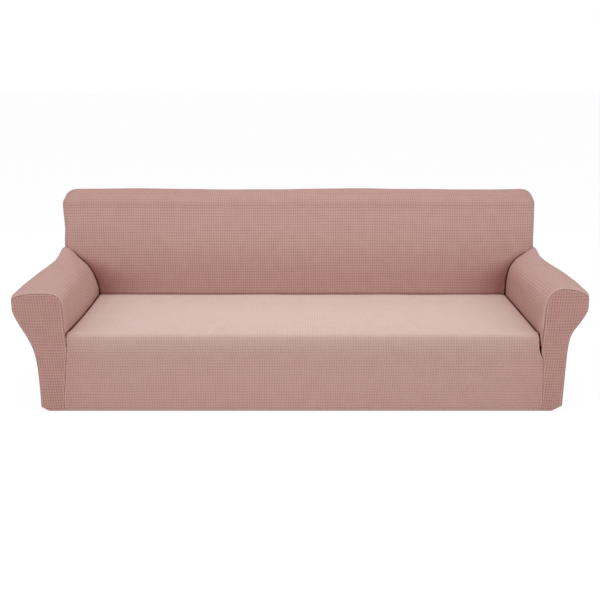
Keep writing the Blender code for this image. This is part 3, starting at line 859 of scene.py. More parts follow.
    @staticmethod
    def way_down(points: FloatArray) -> FloatArray:
        """The way along the middle column, for every column alike."""
        middle = points.shape[1] // 2
        way = run_along(points[:, middle: middle + 1], 0, 0)
        return np.repeat(way, points.shape[1], axis=1)

    def crevices(self, points: FloatArray, facing: FloatArray) -> FloatArray:
        """Painted shade in the crevices round the deck: the cloth's drop below the deck over the roll's size."""
        below = (self.shape.seat_height - self.crevice_under - points[..., 2]) / self.crevice_reach
        return smooth_step(below) * (facing[:, None] == 0.0)

    def pale(self, points: FloatArray, facing: FloatArray) -> FloatArray:
        """Painted highlight: palest on the deck, less beside the arms in their shade, fading down the skirt's top.

        Args:
            points: the panel's points.
            facing: each row's facing.

        Returns:
            A mask over the grid.
        """
        inwards = self.side_seam(points)[..., 0]
        beside = 1.0 - self.pale_edge * np.exp(-inwards / self.pale_reach)
        beside = beside * np.interp(points[..., 1], self.pale_depths, self.pale_along)
        below = np.maximum(self.shape.seat_height - self.front_radius - points[..., 2], 0.0)
        on_skirt = blend(self.pale_skirt, np.exp(-((below / self.pale_skirt_reach) ** 2)))
        turned = self.turned(facing)
        return beside * ((1.0 - turned) + on_skirt * turned)

    def side_seam(self, points: FloatArray) -> FloatArray:
        """Distance in from the nearer side edge, and the way down the panel."""
        half = np.where(points[..., 0] < 0.0, -points[:, :1, 0], points[:, -1:, 0])
        return joined(half - np.abs(points[..., 0]) + self.furrow_off, self.way_down(points))


@dataclass
class InnerBackPanel(Panel):
    """The inside back, carried over the top and round both ends to the rear panel.

    Its middle rolls back into the crevice behind the seat. Beside the arms its edge rounds back against them.
    """

    shape: CoverShape
    node: str = "inner_back"
    cut: Pair = (2.40, 0.78)
    cut_share: float = 0.95
    sewn_to: tuple[str, ...] = ("seat_front", "outer_back", "arm_left", "arm_right")
    face_crown: float = 0.012
    swell_foot: float = 0.380
    roll_start: float = 0.385
    roll_end: float = 0.428
    tuck_clear: float = 0.004
    corner_power: float = 3.0
    top_crown: float = 0.020
    end_crown: float = 0.006
    end_crown_rise: float = 0.100
    crown_span: float = 0.92
    top_wave: float = 0.003
    top_wave_turns: float = 5.0
    top_wave_from: Pair = (0.800, 0.920)
    edge_roll: float = 0.007
    crevice_reach: Pair = (0.0130, 0.0055)
    crevice_depth: Pair = (1.0, 0.80)
    crevice_full: float = 1.25
    crevice_off: float = 0.001
    below_over: float = 0.004
    below_fade: float = 0.008
    pale_heights: Pair = (0.480, 0.900)
    pale_share: Pair = (0.05, 0.22)
    top_shade_heights: Pair = (0.862, 0.905)
    top_shade: float = 0.16
    faded: Pair = (1.200, 1.275)
    shade_heights: Pair = (0.460, 0.640)
    shade_reach: Pair = (0.130, 0.010)
    seat_shade: float = 0.35
    seat_shade_reach: float = 0.012
    calm_from: float = 0.01
    calm_reach: float = 0.08
    calm_end: float = 0.3
    tuck_steps: int = 12
    face_steps: int = 66
    side_share: float = 0.018
    side_steps: int = 24
    middle_steps: int = 130
    wall_points: int = 12
    sway: Sway = Sway(0.0014, 0.54, 2.1)
    folds: tuple[Fold, ...] = (
        Fold((1.1215, 0.398), (1.1270, 0.474), 0.0032, -0.0085),
        Fold((1.1305, 0.400), (1.1315, 0.462), 0.0024, 0.0075),
        Fold((-1.050, 0.430), (-1.088, 0.520), 0.0120, -0.0022),
        Fold((1.060, 0.430), (1.100, 0.540), 0.0140, -0.0024),
    )

    def columns(self) -> tuple[FloatArray, NDArray[np.int_], FloatArray, FloatArray]:
        """Lay out the columns from the left end to the right one.

        Returns:
            Each column's lane, its step over the back's edge, its foot and its side.
        """
        shape = self.shape
        steps = np.arange(shape.rim_steps + 1)
        rim = np.append(np.zeros(shape.crease_steps + 1, dtype=int), steps)
        lanes, feet = {}, {}
        for side in Side:
            lane, foot = shape.crease(side)
            lanes[side] = side.value * np.append(lane, np.full(shape.end_steps, shape.of_side(shape.back_half, side)))
            feet[side] = np.append(foot, np.full(shape.end_steps, foot[-1]))
            feet[side][0] = shape.tuck_foot
        share = finer_ends(self.side_share, self.side_steps, self.middle_steps)[1:-1]
        start, end = lanes[Side.LEFT][0], lanes[Side.RIGHT][0]
        lane = np.concatenate([lanes[Side.LEFT][::-1], start + (end - start) * share, lanes[Side.RIGHT]])
        foot = np.concatenate([feet[Side.LEFT][::-1], np.full(len(share), shape.tuck_foot), feet[Side.RIGHT]])
        rims = np.concatenate([rim[::-1], np.zeros(len(share), dtype=int), rim])
        return lane, rims, foot, np.where(lane < 0.0, -1.0, 1.0)

    def rows(self, foot: FloatArray) -> tuple[FloatArray, NDArray[np.int_]]:
        """Heights of the rows under the back's top edge, and each row's step over that edge."""
        shape = self.shape
        base = shape.back_top - shape.corner_radius
        tucked = foot < self.roll_start
        roll = np.linspace(self.roll_start, self.roll_end, self.tuck_steps)[:, None]
        low = np.vstack([foot, np.where(tucked, roll, foot)])
        rise = np.linspace(0.0, 1.0, self.face_steps + 1)[1:, None]
        over = shape.rim_steps
        up = np.vstack([low, low[-1] + (base - low[-1]) * rise, np.full((over, len(foot)), base)])
        step = np.append(np.zeros(len(up) - over, dtype=int), np.arange(1, over + 1))
        return up, step[:, None]

    def crease_distance(self, across: FloatArray, up: FloatArray) -> FloatArray:
        """Distance of the face's points from where the nearer arm meets the back."""
        shape = self.shape
        apart = []
        for side in Side:
            lane, foot = shape.crease(side)
            rise = np.linspace(shape.tuck_foot, foot[0], self.wall_points)
            wall = joined(np.full(self.wall_points, lane[0]), rise)
            line = np.vstack([wall, joined(lane, foot)]) * [side.value, 1.0]
            apart.append(nearest_on_line(joined(across, up), line)[0])
        return np.minimum(*apart)

    def grid(self) -> ClothGrid:
        """Work out the panel's grid.

        In a corner the larger of the two ways over the edge gives the distance from the corner's centre, and their
        ratio the angle round it. The corner is a superellipse: that distance over the root of the summed powers of
        the angle's sine and cosine. On the straight stretch to the rear the cloth is crowned by a sine.
        """
        shape = self.shape
        lane, rim, foot, sign = self.columns()
        up, way = self.rows(foot)
        out, back, share = shape.rim_profile()
        reach = np.maximum(way, rim)
        turn = math.pi / 4.0 * np.minimum(way, rim) / np.maximum(reach, 1)
        angle = np.where(way >= rim, QUARTER_TURN - turn, turn)
        steep = np.sin(angle) ** 2
        end_crown = self.end_crown * smooth_step((up - foot) / self.end_crown_rise)
        crown = np.sin(self.crown_span * math.pi * share[reach]) * (self.top_crown * steep + end_crown * (1.0 - steep))
        rounded = np.abs(np.cos(angle)) ** self.corner_power + np.sin(angle) ** self.corner_power
        over = (out[reach] + crown) * rounded ** (-1.0 / self.corner_power)
        half = np.where(sign < 0.0, *shape.back_half)
        centre = np.where(rim == 0, lane, sign * (half - shape.corner_radius))
        wider = [np.interp(up, *np.array(BACK_ENDS[side]).T) for side in Side]
        wider = np.where(sign < 0.0, *wider) * out[rim] / shape.corner_radius
        across = centre + sign * (wider + over * np.cos(angle) * (rim > 0))
        height = up + over * np.sin(angle) * (way > 0)
        near_top = ramp(height, *self.top_wave_from)
        wave = self.top_wave * np.sin(self.top_wave_turns * across) * near_top
        depth = self.depth_of(across, height, up, foot) + back[reach]
        depth = depth + (shape.rear - depth) * share[reach]
        points = joined(across, depth, height + wave)
        keep = all_cells(points)
        beside = shape.crease_steps + shape.rim_steps + 1
        cut_sides(keep, slice(self.tuck_steps), beside)
        base_row = self.tuck_steps + self.face_steps
        across_way = run_along(points[base_row: base_row + 1], 1, len(lane) // 2)
        weave = joined(np.repeat(across_way, len(up), axis=0), run_along(points, 0, base_row))
        grid = ClothGrid(points, keep, weave, False, self.rear_seam(points), no_edge(points))
        # Painted shade in the creases by the arms and the seat and over the top roll; painted highlight higher up
        apart = self.crease_distance(across, height)
        faded = 1.0 - ramp(np.abs(across), *self.faded)
        rise = ramp(height, *self.shade_heights)
        narrow_reach = blend(self.crevice_reach, rise)
        narrow = smooth_step(self.crevice_full - (apart - self.crevice_off) / narrow_reach) * faded
        narrow = narrow * blend(self.crevice_depth, rise)
        below = np.clip((shape.seat_height + self.below_over - height) / self.below_fade, 0.0, 1.0)
        grid.crevice = np.maximum(narrow, below) * (reach == 0)
        shade_reach = blend(self.shade_reach, rise)
        near_seat = self.seat_shade * np.exp(-np.maximum(height - shape.seat_height, 0.0) / self.seat_shade_reach)
        higher = ramp(height, *self.pale_heights)
        on_roll = ramp(height, *self.top_shade_heights)
        grid.pale = blend(self.pale_share, higher)
        grid.shade = np.maximum(np.exp(-apart / shade_reach) * faded, near_seat) * (reach == 0)
        grid.shade = np.maximum(grid.shade, self.top_shade * on_roll)
        relief = self.sway.relief(across, height) * smooth_step((apart - self.calm_from) / self.calm_reach)
        relief = relief * smooth_step((1.0 - share[reach]) / self.calm_end)
        grid.lift(with_folds(relief, self.folds, across, height, reach == 0))
        return grid

    def depth_of(self, across: FloatArray, height: FloatArray, up: FloatArray, foot: FloatArray) -> FloatArray:
        """Depth of the face: leaning, crowned in the middle, rolled back at the seat and rounded beside the arms."""
        shape = self.shape
        base = shape.back_top - shape.corner_radius
        bow = 1.0 - np.clip(np.abs(across) / shape.back_half[1], 0.0, 1.0) ** 4
        swell = np.sin(math.pi * np.clip((height - self.swell_foot) / (base - self.swell_foot), 0.0, 1.0)) ** 2
        depth = shape.face_depth(height) - self.face_crown * bow * swell
        rolled = 1.0 - ramp(height, self.roll_start, self.roll_end)
        to_tuck = (shape.seat_depth + shape.seam_gap - depth) * rolled * (foot < self.roll_start)
        near = np.clip(1.0 - self.crease_distance(across, height) / self.edge_roll, 0.0, 1.0)
        rounding = self.edge_roll * (1.0 - np.sqrt(1.0 - near * near)) * (up < base)
        rounding = rounding * (1.0 - ramp(np.abs(across), *self.faded))
        rounding = np.minimum(rounding, np.maximum(shape.arm_tuck_end - self.tuck_clear - depth, 0.0))
        return depth + np.maximum(to_tuck, rounding)

    def rear_seam(self, points: FloatArray) -> FloatArray:
        """Distance from the seam to the rear panel, and the way across it."""
        return joined(self.shape.rear - points[..., 1], points[..., 0] + points[..., 2])


@dataclass
class OuterBackPanel(Panel):
    """The plain rear panel, whose edge follows the rear edges of the arms' wraps and of the inside back."""

    shape: CoverShape
    inner_back: InnerBackPanel
    node: str = "outer_back"
    cut: Pair = (2.42, 0.83)
    cut_share: float = 0.93
    sewn_to: tuple[str, ...] = ("inner_back", "arm_left", "arm_right")
    edge_steps: int = 84
    width_steps: int = 150
    side_share: float = 0.02
    side_steps: int = 6
    arm_stations: int = 120
    outline_steps: int = 400
    calm_reach: float = 0.09
    seam_dip: float = 0.0015
    seam_width: float = 0.005
    sway: Sway = Sway(0.0022, 0.70, 4.4)
    folds: tuple[Fold, ...] = (
        Fold((-0.95, 0.03), (-0.60, 0.48), 0.045, 0.0020),
        Fold((0.98, 0.03), (0.70, 0.40), 0.040, 0.0018),
        Fold((-0.25, 0.10), (-0.12, 0.62), 0.060, -0.0018),
    )

    def side_edge(self, side: Side, inner: FloatArray) -> FloatArray:
        """One side's edge from the hem up: the arm's rear edge, the back's end and its rounded top corner."""
        shape = self.shape
        first = shape.station_at(side, np.array([shape.of_side(shape.back_half, side)]))[0]
        stations = np.linspace(len(ARM_SECTIONS[side]) - 1, first, self.arm_stations)
        out, up = shape.arm_points(side, stations, np.array([shape.rear]))
        arm = joined(side.value * out[0], up[0])
        facing = inner if side is Side.LEFT else inner[:, ::-1]
        tuck, rim = self.inner_back.tuck_steps, shape.rim_steps
        end, top = facing[tuck + 1:, 0], facing[-1, 1: rim + 1]
        return np.vstack([arm, end[:, [0, 2]], top[:, [0, 2]]])

    def grid(self) -> ClothGrid:
        """Work out the panel's grid as a Coons patch between its hem, its two sides and its top."""
        shape = self.shape
        inner = self.inner_back.grid().points
        share = finer_ends(self.side_share, self.side_steps, self.width_steps)
        sides = [evenly(self.side_edge(side, inner), self.edge_steps) for side in Side]
        left, right = sides
        across = left[0, 0] + (right[0, 0] - left[0, 0]) * share
        lift = shape.lift_at(Side.LEFT, across - across[0]) + shape.lift_at(Side.RIGHT, across[-1] - across)
        bottom = joined(across, lift)
        bottom[[0, -1]] = left[0], right[0]
        top_line = inner[-1][:, [0, 2]]
        top_out = left[-1, 0] + (right[-1, 0] - left[-1, 0]) * share
        top = joined(top_out, np.interp(top_out, top_line[:, 0], top_line[:, 1]))
        top[[0, -1]] = left[-1], right[-1]
        patch = coons_patch(bottom, top, left, right, share)
        points = np.insert(patch, 1, shape.depth, axis=-1)
        outline = np.vstack([left, top[1:-1], right[::-1]])
        apart, way = nearest_on_line(patch, evenly(outline, self.outline_steps))
        dip = groove(apart, self.seam_dip, self.seam_width)
        points[..., 1] -= dip
        points, count = shape.turn_under(points, -1.0)
        keep = all_cells(points)
        cut_sides(keep, slice(count), self.side_steps)
        seam = joined(np.vstack([apart[:1]] * count + [apart]), np.vstack([way[:1]] * count + [way]))
        weave = joined(-points[..., 0], run_along(points, 0, count))
        grid = ClothGrid(points, keep, weave, True, seam, hem_of(points))
        calm = smooth_step(seam[..., 0] / self.calm_reach) * smooth_step(points[..., 2] / shape.hem_calm)
        across, height = points[..., 0], points[..., 2]
        grid.lift(with_folds(self.sway.relief(across, height), self.folds, across, height) * calm)
        return grid


def evenly(line: FloatArray, steps: int) -> FloatArray:
    """Lay points at even ways along a line.

    Args:
        line: the line's points, count by dimensions.
        steps: how many even steps it gets.

    Returns:
        The new points, with both ends among them.
    """
    way = np.append(0.0, np.cumsum(np.linalg.norm(np.diff(line, axis=0), axis=-1)))
    wanted = np.linspace(0.0, way[-1], steps + 1)
    return np.stack([np.interp(wanted, way, line[:, axis]) for axis in range(line.shape[1])], axis=-1)


def coons_patch(
    bottom: FloatArray, top: FloatArray, first: FloatArray, last: FloatArray, share: FloatArray
) -> FloatArray:
    """Fill a four-sided patch from its edges.

    The first and last columns are blended across, and what the bottom and top rows differ from straight lines is
    blended upwards and added.

    Args:
        bottom: the bottom row's points.
        top: the top row's points.
        first: the first column's points, from the bottom up.
        last: the last column's points.
        share: how far over each column lies, from 0 to 1.

    Returns:
        The patch, rows by columns by dimensions.
    """
    over = share[None, :, None]
    rise = np.linspace(0.0, 1.0, len(first))[:, None, None]
    between = first[:, None] * (1.0 - over) + last[:, None] * over
    low = bottom[None] - bottom[0] * (1.0 - over) - bottom[-1] * over
    high = top[None] - top[0] * (1.0 - over) - top[-1] * over
    return between + low * (1.0 - rise) + high * rise


@dataclass
class ArmWrapPanel(Panel):
    """The wrap of one arm: inside wall, roll and outside down to the turned hem.

    Its inner columns stop in a tuck behind the face of the back, those under the back's rounded edge a little
    further on, and the outer ones run to the rear. Behind the front seam a ridge stands over the seam's turnings.
    """

    shape: CoverShape
    side: Side
    node: str = ""
    cut: Pair = (0.74, 1.10)
    cut_share: float = 0.93
    sewn_to: tuple[str, ...] = ("inner_back", "outer_back")
    seam_dip: float = 0.0008
    seam_width: float = 0.0030
    ridge_height: float = 0.0014
    ridge_place: float = 0.0055
    ridge_width: float = 0.0024
    rounding_steps: int = 38
    first_turn: float = 0.12
    faded: Pair = (1.190, 1.262)
    pale_heights: Pair = (0.500, 0.610)
    foot_shade: float = 0.38
    foot_shade_reach: float = 0.022
    pale_top: float = 0.28
    pale_wall: Pair = (0.25, 0.13)
    lens_edge: tuple[Pair, ...] = ((0.345, 1.1545), (0.370, 1.1490), (0.400, 1.1440), (0.420, 1.1400))
    inner_steps: int = 62
    weave_column: int = 55
    corner_steps: int = 10
    outer_steps: int = 70
    depth_steps: tuple[int, ...] = (56, 8, 5, 20)
    crevice_over: float = 0.009
    crevice_fade: float = 0.010
    lens_fade: float = 0.003
    deep_from: float = -0.002
    deep_fade: float = 0.007
    shade_fade: float = 0.02
    calm_seam: float = 0.06
    calm_rear: float = 0.08
    calm_foot: float = 0.1
    sway: Sway = Sway(0.0011, 0.33, 1.3)

    def __post_init__(self) -> None:
        """Name the panel for its side."""
        self.node = "arm_" + self.side.word
        self.sewn_to = self.sewn_to + ("arm_front_" + self.side.word,)

    def stations(self) -> FloatArray:
        """Fine stations round the section, with those where the back's rounded edge starts and ends among them."""
        shape = self.shape
        profile = shape.rim_profile()[0]
        lanes = shape.of_side(shape.back_half, self.side) - shape.corner_radius + profile
        ends = shape.station_at(self.side, lanes[[shape.flat_steps, shape.flat_steps + shape.fillet_steps - 2]])
        last = len(ARM_SECTIONS[self.side]) - 1.0
        return through(0.0, *ends, last, steps=(self.inner_steps, self.corner_steps, self.outer_steps))

    def grid(self) -> ClothGrid:
        """Work out the panel's grid.

        The first rows lie at even turns round the quarter round behind the front seam, where the cloth dips into
        the seam and then stands up in a ridge. The rest is the arm's section at even depths.
        """
        shape, side = self.shape, self.side
        stations = self.stations()
        turns = np.linspace(self.first_turn, QUARTER_TURN, self.rounding_steps)
        rounding = np.append(0.0, shape.arm_rounding * (1.0 - np.cos(turns)))
        behind = through(
            shape.arm_rounding, shape.arm_tuck_start, shape.arm_tuck_end, shape.arm_corner_end, shape.rear,
            steps=self.depth_steps,
        )
        depth = np.append(rounding, behind[1:])
        tuck_row = len(rounding) - 1 + sum(self.depth_steps[:2])
        corner_row = tuck_row + self.depth_steps[2]
        out, up = shape.arm_points(side, stations, depth)
        under, over = shape.hem_profile()
        foot = up[:, -1:].copy()
        up[:, -1] += shape.hem_radius
        out = np.hstack([out, out[:, -1:] - under])
        up = np.hstack([up, foot + over])
        back = np.repeat(depth[:, None], out.shape[1], axis=1)
        points = joined(side.value * out, back, up)
        keep = all_cells(points)
        keep[tuck_row:, : self.inner_steps] = False
        keep[corner_row:, : self.inner_steps + self.corner_steps] = False
        reach = shape.of_side(shape.hem_lift_reach, side)
        whole = (depth[:-1] >= reach) & (depth[1:] <= shape.depth - reach)
        keep[:, -len(under):] = whole[:, None]
        weave = joined(back, run_along(points, 1, self.weave_column))
        # Painted shade at the inside wall's foot and behind the back's face; painted highlight on top and on the
        # inside wall, more on the left
        wall = smooth_step((shape.seat_height + self.crevice_over - up) / self.crevice_fade)
        lens = np.interp(up, *np.array(self.lens_edge).T)
        wall = wall * np.maximum(smooth_step((lens - out) / self.lens_fade), side is Side.LEFT)
        deep = smooth_step((back - shape.face_depth(up) - self.deep_from) / self.deep_fade)
        deep = deep * (1.0 - ramp(out, *self.faded))
        inner = np.arange(out.shape[1]) < self.inner_steps
        way = run_along(points, 0, 0)
        seam = joined(way, weave[..., 1])
        hem = np.where(inner[:, None], 1.0, joined(up, back))
        grid = ClothGrid(points, keep, weave, side is Side.LEFT, seam, hem)
        grid.crevice = np.maximum(wall, deep) * inner
        above = np.maximum(up - shape.seat_height, 0.0) / self.foot_shade_reach
        grid.shade = self.foot_shade * np.exp(-above) * inner * smooth_step(way / self.shade_fade)
        low = shape.of_side(self.pale_wall, side) * inner
        higher = ramp(up, *self.pale_heights)
        grid.pale = low + (self.pale_top - low) * higher
        calm = smooth_step(way / self.calm_seam) * smooth_step((shape.rear - back) / self.calm_rear)
        calm = calm * smooth_step(up / shape.hem_calm)
        calm = calm * smooth_step((up - shape.tuck_foot) / self.calm_foot + (1.0 - inner))
        dip = groove(way, self.seam_dip, self.seam_width)
        ridge = self.ridge_height * np.exp(-(((way - self.ridge_place) / self.ridge_width) ** 2))
        grid.lift(self.sway.relief(weave[..., 0], weave[..., 1]) * calm + ridge - dip)
        return grid


@dataclass
class ArmFrontPanel(Panel):
    """The bulb-shaped front of one arm, with a lip along the skirt's seam and the hem turned under."""

    shape: CoverShape
    side: Side
    node: str = ""
    cut: Pair = (0.22, 0.54)
    cut_share: float = 0.72
    sewn_to: tuple[str, ...] = ("seat_front",)
    # Painted highlight along the seam's turnings, fainter than on the other panels
    ridge: float = 0.20
    crown: float = 0.008
    lip: float = 0.012
    seam_dip: float = 0.0008
    seam_width: float = 0.0030
    width_steps: int = 64
    height_steps: int = 110
    inner_shoulder: float = 3.0
    outer_shoulder: float = 14.2
    side_share: float = 0.06
    side_steps: int = 8
    section_points: int = 421
    seam_points: int = 80
    top_steps: int = 400
    sewn_steps: int = 320
    skirt_steps: int = 120
    skirt_seam_top: float = 0.42
    calm_reach: float = 0.05
    lip_steps: int = 2
    sway: Sway = Sway(0.0009, 0.21, 3.3)
    left_folds: tuple[Fold, ...] = (Fold((1.150, 0.300), (1.160, 0.170), 0.0060, 0.0008),)
    right_folds: tuple[Fold, ...] = (
        Fold((1.167, 0.560), (1.176, 0.400), 0.0040, 0.0016),
        Fold((1.178, 0.540), (1.188, 0.390), 0.0050, 0.0011),
        Fold((1.172, 0.400), (1.184, 0.250), 0.0055, 0.0012),
        Fold((1.196, 0.300), (1.206, 0.180), 0.0070, 0.0009),
    )

    def __post_init__(self) -> None:
        """Name the panel for its side."""
        self.node = "arm_front_" + self.side.word
        self.sewn_to = self.sewn_to + ("arm_" + self.side.word,)

    def outline(self) -> tuple[FloatArray, FloatArray, FloatArray, FloatArray, FloatArray]:
        """The panel's four edges, each from the inside out or from the hem up, and its columns' shares."""
        shape, side = self.shape, self.side
        stations = np.linspace(0.0, len(ARM_SECTIONS[side]) - 1.0, self.section_points)
        out, up = shape.arm_points(side, stations, np.array([0.0]))
        normal_out, normal_up = section_normals(out[0], up[0])
        section = joined(out[0] - shape.seam_gap * normal_out, up[0] - shape.seam_gap * normal_up)
        inside, outside = stations <= self.inner_shoulder, stations >= self.outer_shoulder
        seam_up = np.linspace(0.0, shape.tuck_foot, self.seam_points, endpoint=False)
        seam = joined(shape.seam_out(side, seam_up, Edge.ARM) + shape.seam_gap, seam_up)
        first = evenly(np.vstack([seam, section[inside]]), self.height_steps)
        last = evenly(section[outside][::-1], self.height_steps)
        share = finer_ends(self.side_share, self.side_steps, self.width_steps)
        top = evenly(section[(stations >= self.inner_shoulder) & ~outside], self.top_steps)
        way = np.linspace(0.0, 1.0, len(top))
        top = np.stack([np.interp(share, way, top[:, axis]) for axis in range(2)], axis=-1)
        top[[0, -1]] = first[-1], last[-1]
        hem_out = first[0, 0] + (last[0, 0] - first[0, 0]) * share
        bottom = joined(hem_out, shape.lift_at(side, last[0, 0] - hem_out))
        return bottom, top, first, last, share

    def grid(self) -> ClothGrid:
        """Work out the panel's grid: a Coons patch, crowned by sines both ways and dipped at its sewn edges."""
        shape, side = self.shape, self.side
        bottom, top, first, last, share = self.outline()
        patch = coons_patch(bottom, top, first, last, share)
        rise = np.linspace(0.0, 1.0, len(patch))[:, None]
        sewn = evenly(np.vstack([first[first[:, 1] > self.skirt_seam_top], top[1:-1], last[::-1]]), self.sewn_steps)
        skirt = evenly(first[first[:, 1] <= self.skirt_seam_top], self.skirt_steps)
        apart, way = nearest_on_line(patch, sewn)
        skirt_apart = nearest_on_line(patch, skirt)[0]
        dip = groove(apart, self.seam_dip, self.seam_width)
        dip = np.maximum(dip, groove(skirt_apart, 0.5 * self.seam_dip, self.seam_width))
        depth = dip - self.crown * np.sin(math.pi * share) * np.sin(math.pi * rise)
        points = joined(side.value * patch[..., 0], depth, patch[..., 1])
        relief = self.sway.relief(patch[..., 0], patch[..., 1]) * smooth_step(apart / self.calm_reach)
        folds = self.left_folds if side is Side.LEFT else self.right_folds
        relief = with_folds(relief, folds, patch[..., 0], patch[..., 1])
        points[..., 1] -= relief * smooth_step(patch[..., 1] / shape.hem_calm)
        reaches = self.lip * np.linspace(1.0, 0.0, self.lip_steps, endpoint=False)
        lips = [points[:, :1] + [0.0, reach, 0.0] for reach in reaches]
        points = np.hstack(lips + [points])
        points, count = shape.turn_under(points, 1.0)
        keep = all_cells(points)
        keep[:, : self.lip_steps] = (points[1:, 0, 2] < shape.tuck_foot)[:, None]
        keep[:count] = False
        limit = last[0, 0] - shape.of_side(shape.hem_lift_reach, side)
        keep[:count, self.lip_steps:] = np.abs(points[0, self.lip_steps + 1:, 0]) < limit
        pad = np.array([[count, 0], [self.lip_steps, 0]])
        seam = joined(np.pad(np.minimum(apart, skirt_apart), pad, "edge"), np.pad(way, pad, "edge"))
        weave = joined(side.value * points[..., 0], run_along(points, 0, count))
        weave[..., 1] = np.pad(patch[..., 1], pad, "edge")
        hem = joined(np.pad(patch[..., 1], pad, "edge"), points[..., 0])
        return ClothGrid(points, keep, weave, side is Side.LEFT, seam, hem)


class Graph:
    """A short hand for building shader nodes in one node tree.

    Attributes:
        colour_inputs: a mix node's two colour inputs, which share their names with its inputs of other kinds.
    """

    colour_inputs: tuple[int, int] = (6, 7)

    def __init__(self, tree: bpy.types.NodeTree) -> None:
        """Keep the tree that nodes are added to."""
        self.tree = tree

    def add(self, kind: str, **settings: object) -> bpy.types.Node:
        """Add a node of a kind and set its properties."""
        node = self.tree.nodes.new(kind)
        for name, value in settings.items():
            setattr(node, name, value)
        return node

    def put(self, value: NodeLink, socket: bpy.types.NodeSocket) -> None:
        """Link an output into a socket, or set the socket's own value."""
        if isinstance(value, bpy.types.NodeSocket):
            self.tree.links.new(value, socket)
        else:
            socket.default_value = value

    def math(self, operation: str, *values: NodeLink) -> bpy.types.NodeSocket:
        """Work out one operation on up to three values."""
        node = self.add("ShaderNodeMath", operation=operation)
        for value, socket in zip(values, node.inputs):
            self.put(value, socket)
        return node.outputs[0]

    def soft_step(self, value: NodeLink, low: NodeLink, high: NodeLink) -> bpy.types.NodeSocket:
        """A soft rise from 0 to 1 as value goes from low to high."""
        node = self.add("ShaderNodeMapRange", interpolation_type="SMOOTHSTEP")
        for given, name in ((value, "Value"), (low, "From Min"), (high, "From Max")):
            self.put(given, node.inputs[name])
        return node.outputs["Result"]

    def fall(self, value: NodeLink, low: NodeLink, high: NodeLink) -> bpy.types.NodeSocket:
        """A soft fall from 1 to 0 as value goes from low to high."""
        return self.math("SUBTRACT", 1.0, self.soft_step(value, low, high))

    def apart(self, first: NodeLink, second: NodeLink) -> bpy.types.NodeSocket:
        """How far two values are from each other."""
        return self.math("ABSOLUTE", self.math("SUBTRACT", first, second))

    def noise(self, place: NodeLink, scale: float, detail: float, dimensions: str = "2D") -> bpy.types.NodeSocket:
        """Soft noise over a place, at so many waves a metre."""
        node = self.add("ShaderNodeTexNoise", noise_dimensions=dimensions)
        for value, name in ((place, "Vector"), (scale, "Scale"), (detail, "Detail")):
            self.put(value, node.inputs[name])
        return node.outputs["Fac"]

    def mix(self, share: NodeLink, first: NodeLink | tuple, second: NodeLink | tuple) -> bpy.types.NodeSocket:
        """Mix two colours."""
        node = self.add("ShaderNodeMix", data_type="RGBA")
        self.put(share, node.inputs[0])
        for colour, place in zip((first, second), self.colour_inputs):
            self.put((*colour, 1.0) if isinstance(colour, tuple) else colour, node.inputs[place])
        return node.outputs[2]

    def attribute(self, name: str) -> bpy.types.NodeSocket:
        """Read one of the piece's masks."""
        return self.add("ShaderNodeAttribute", attribute_name=name).outputs["Fac"]


def new_group(
    name: str, inputs: dict[str, float | None], outputs: tuple[str, ...]
) -> tuple[Graph, bpy.types.Node, bpy.types.Node]:
    """Start a shader node group.

    Args:
        name: the group's name.
        inputs: each input's name and value, or None where it is a vector.
        outputs: names of the outputs, all of them plain values.

    Returns:
        A graph on the group's tree, and its input and output nodes.
    """
    tree = bpy.data.node_groups.new(name, "ShaderNodeTree")
    for label, value in inputs.items():
        kind = "NodeSocketVector" if value is None else "NodeSocketFloat"
        socket = tree.interface.new_socket(label, in_out="INPUT", socket_type=kind)
        if value is not None:
            socket.default_value = value
    for label in outputs:
        tree.interface.new_socket(label, in_out="OUTPUT", socket_type="NodeSocketFloat")
    graph = Graph(tree)
    return graph, graph.add("NodeGroupInput"), graph.add("NodeGroupOutput")


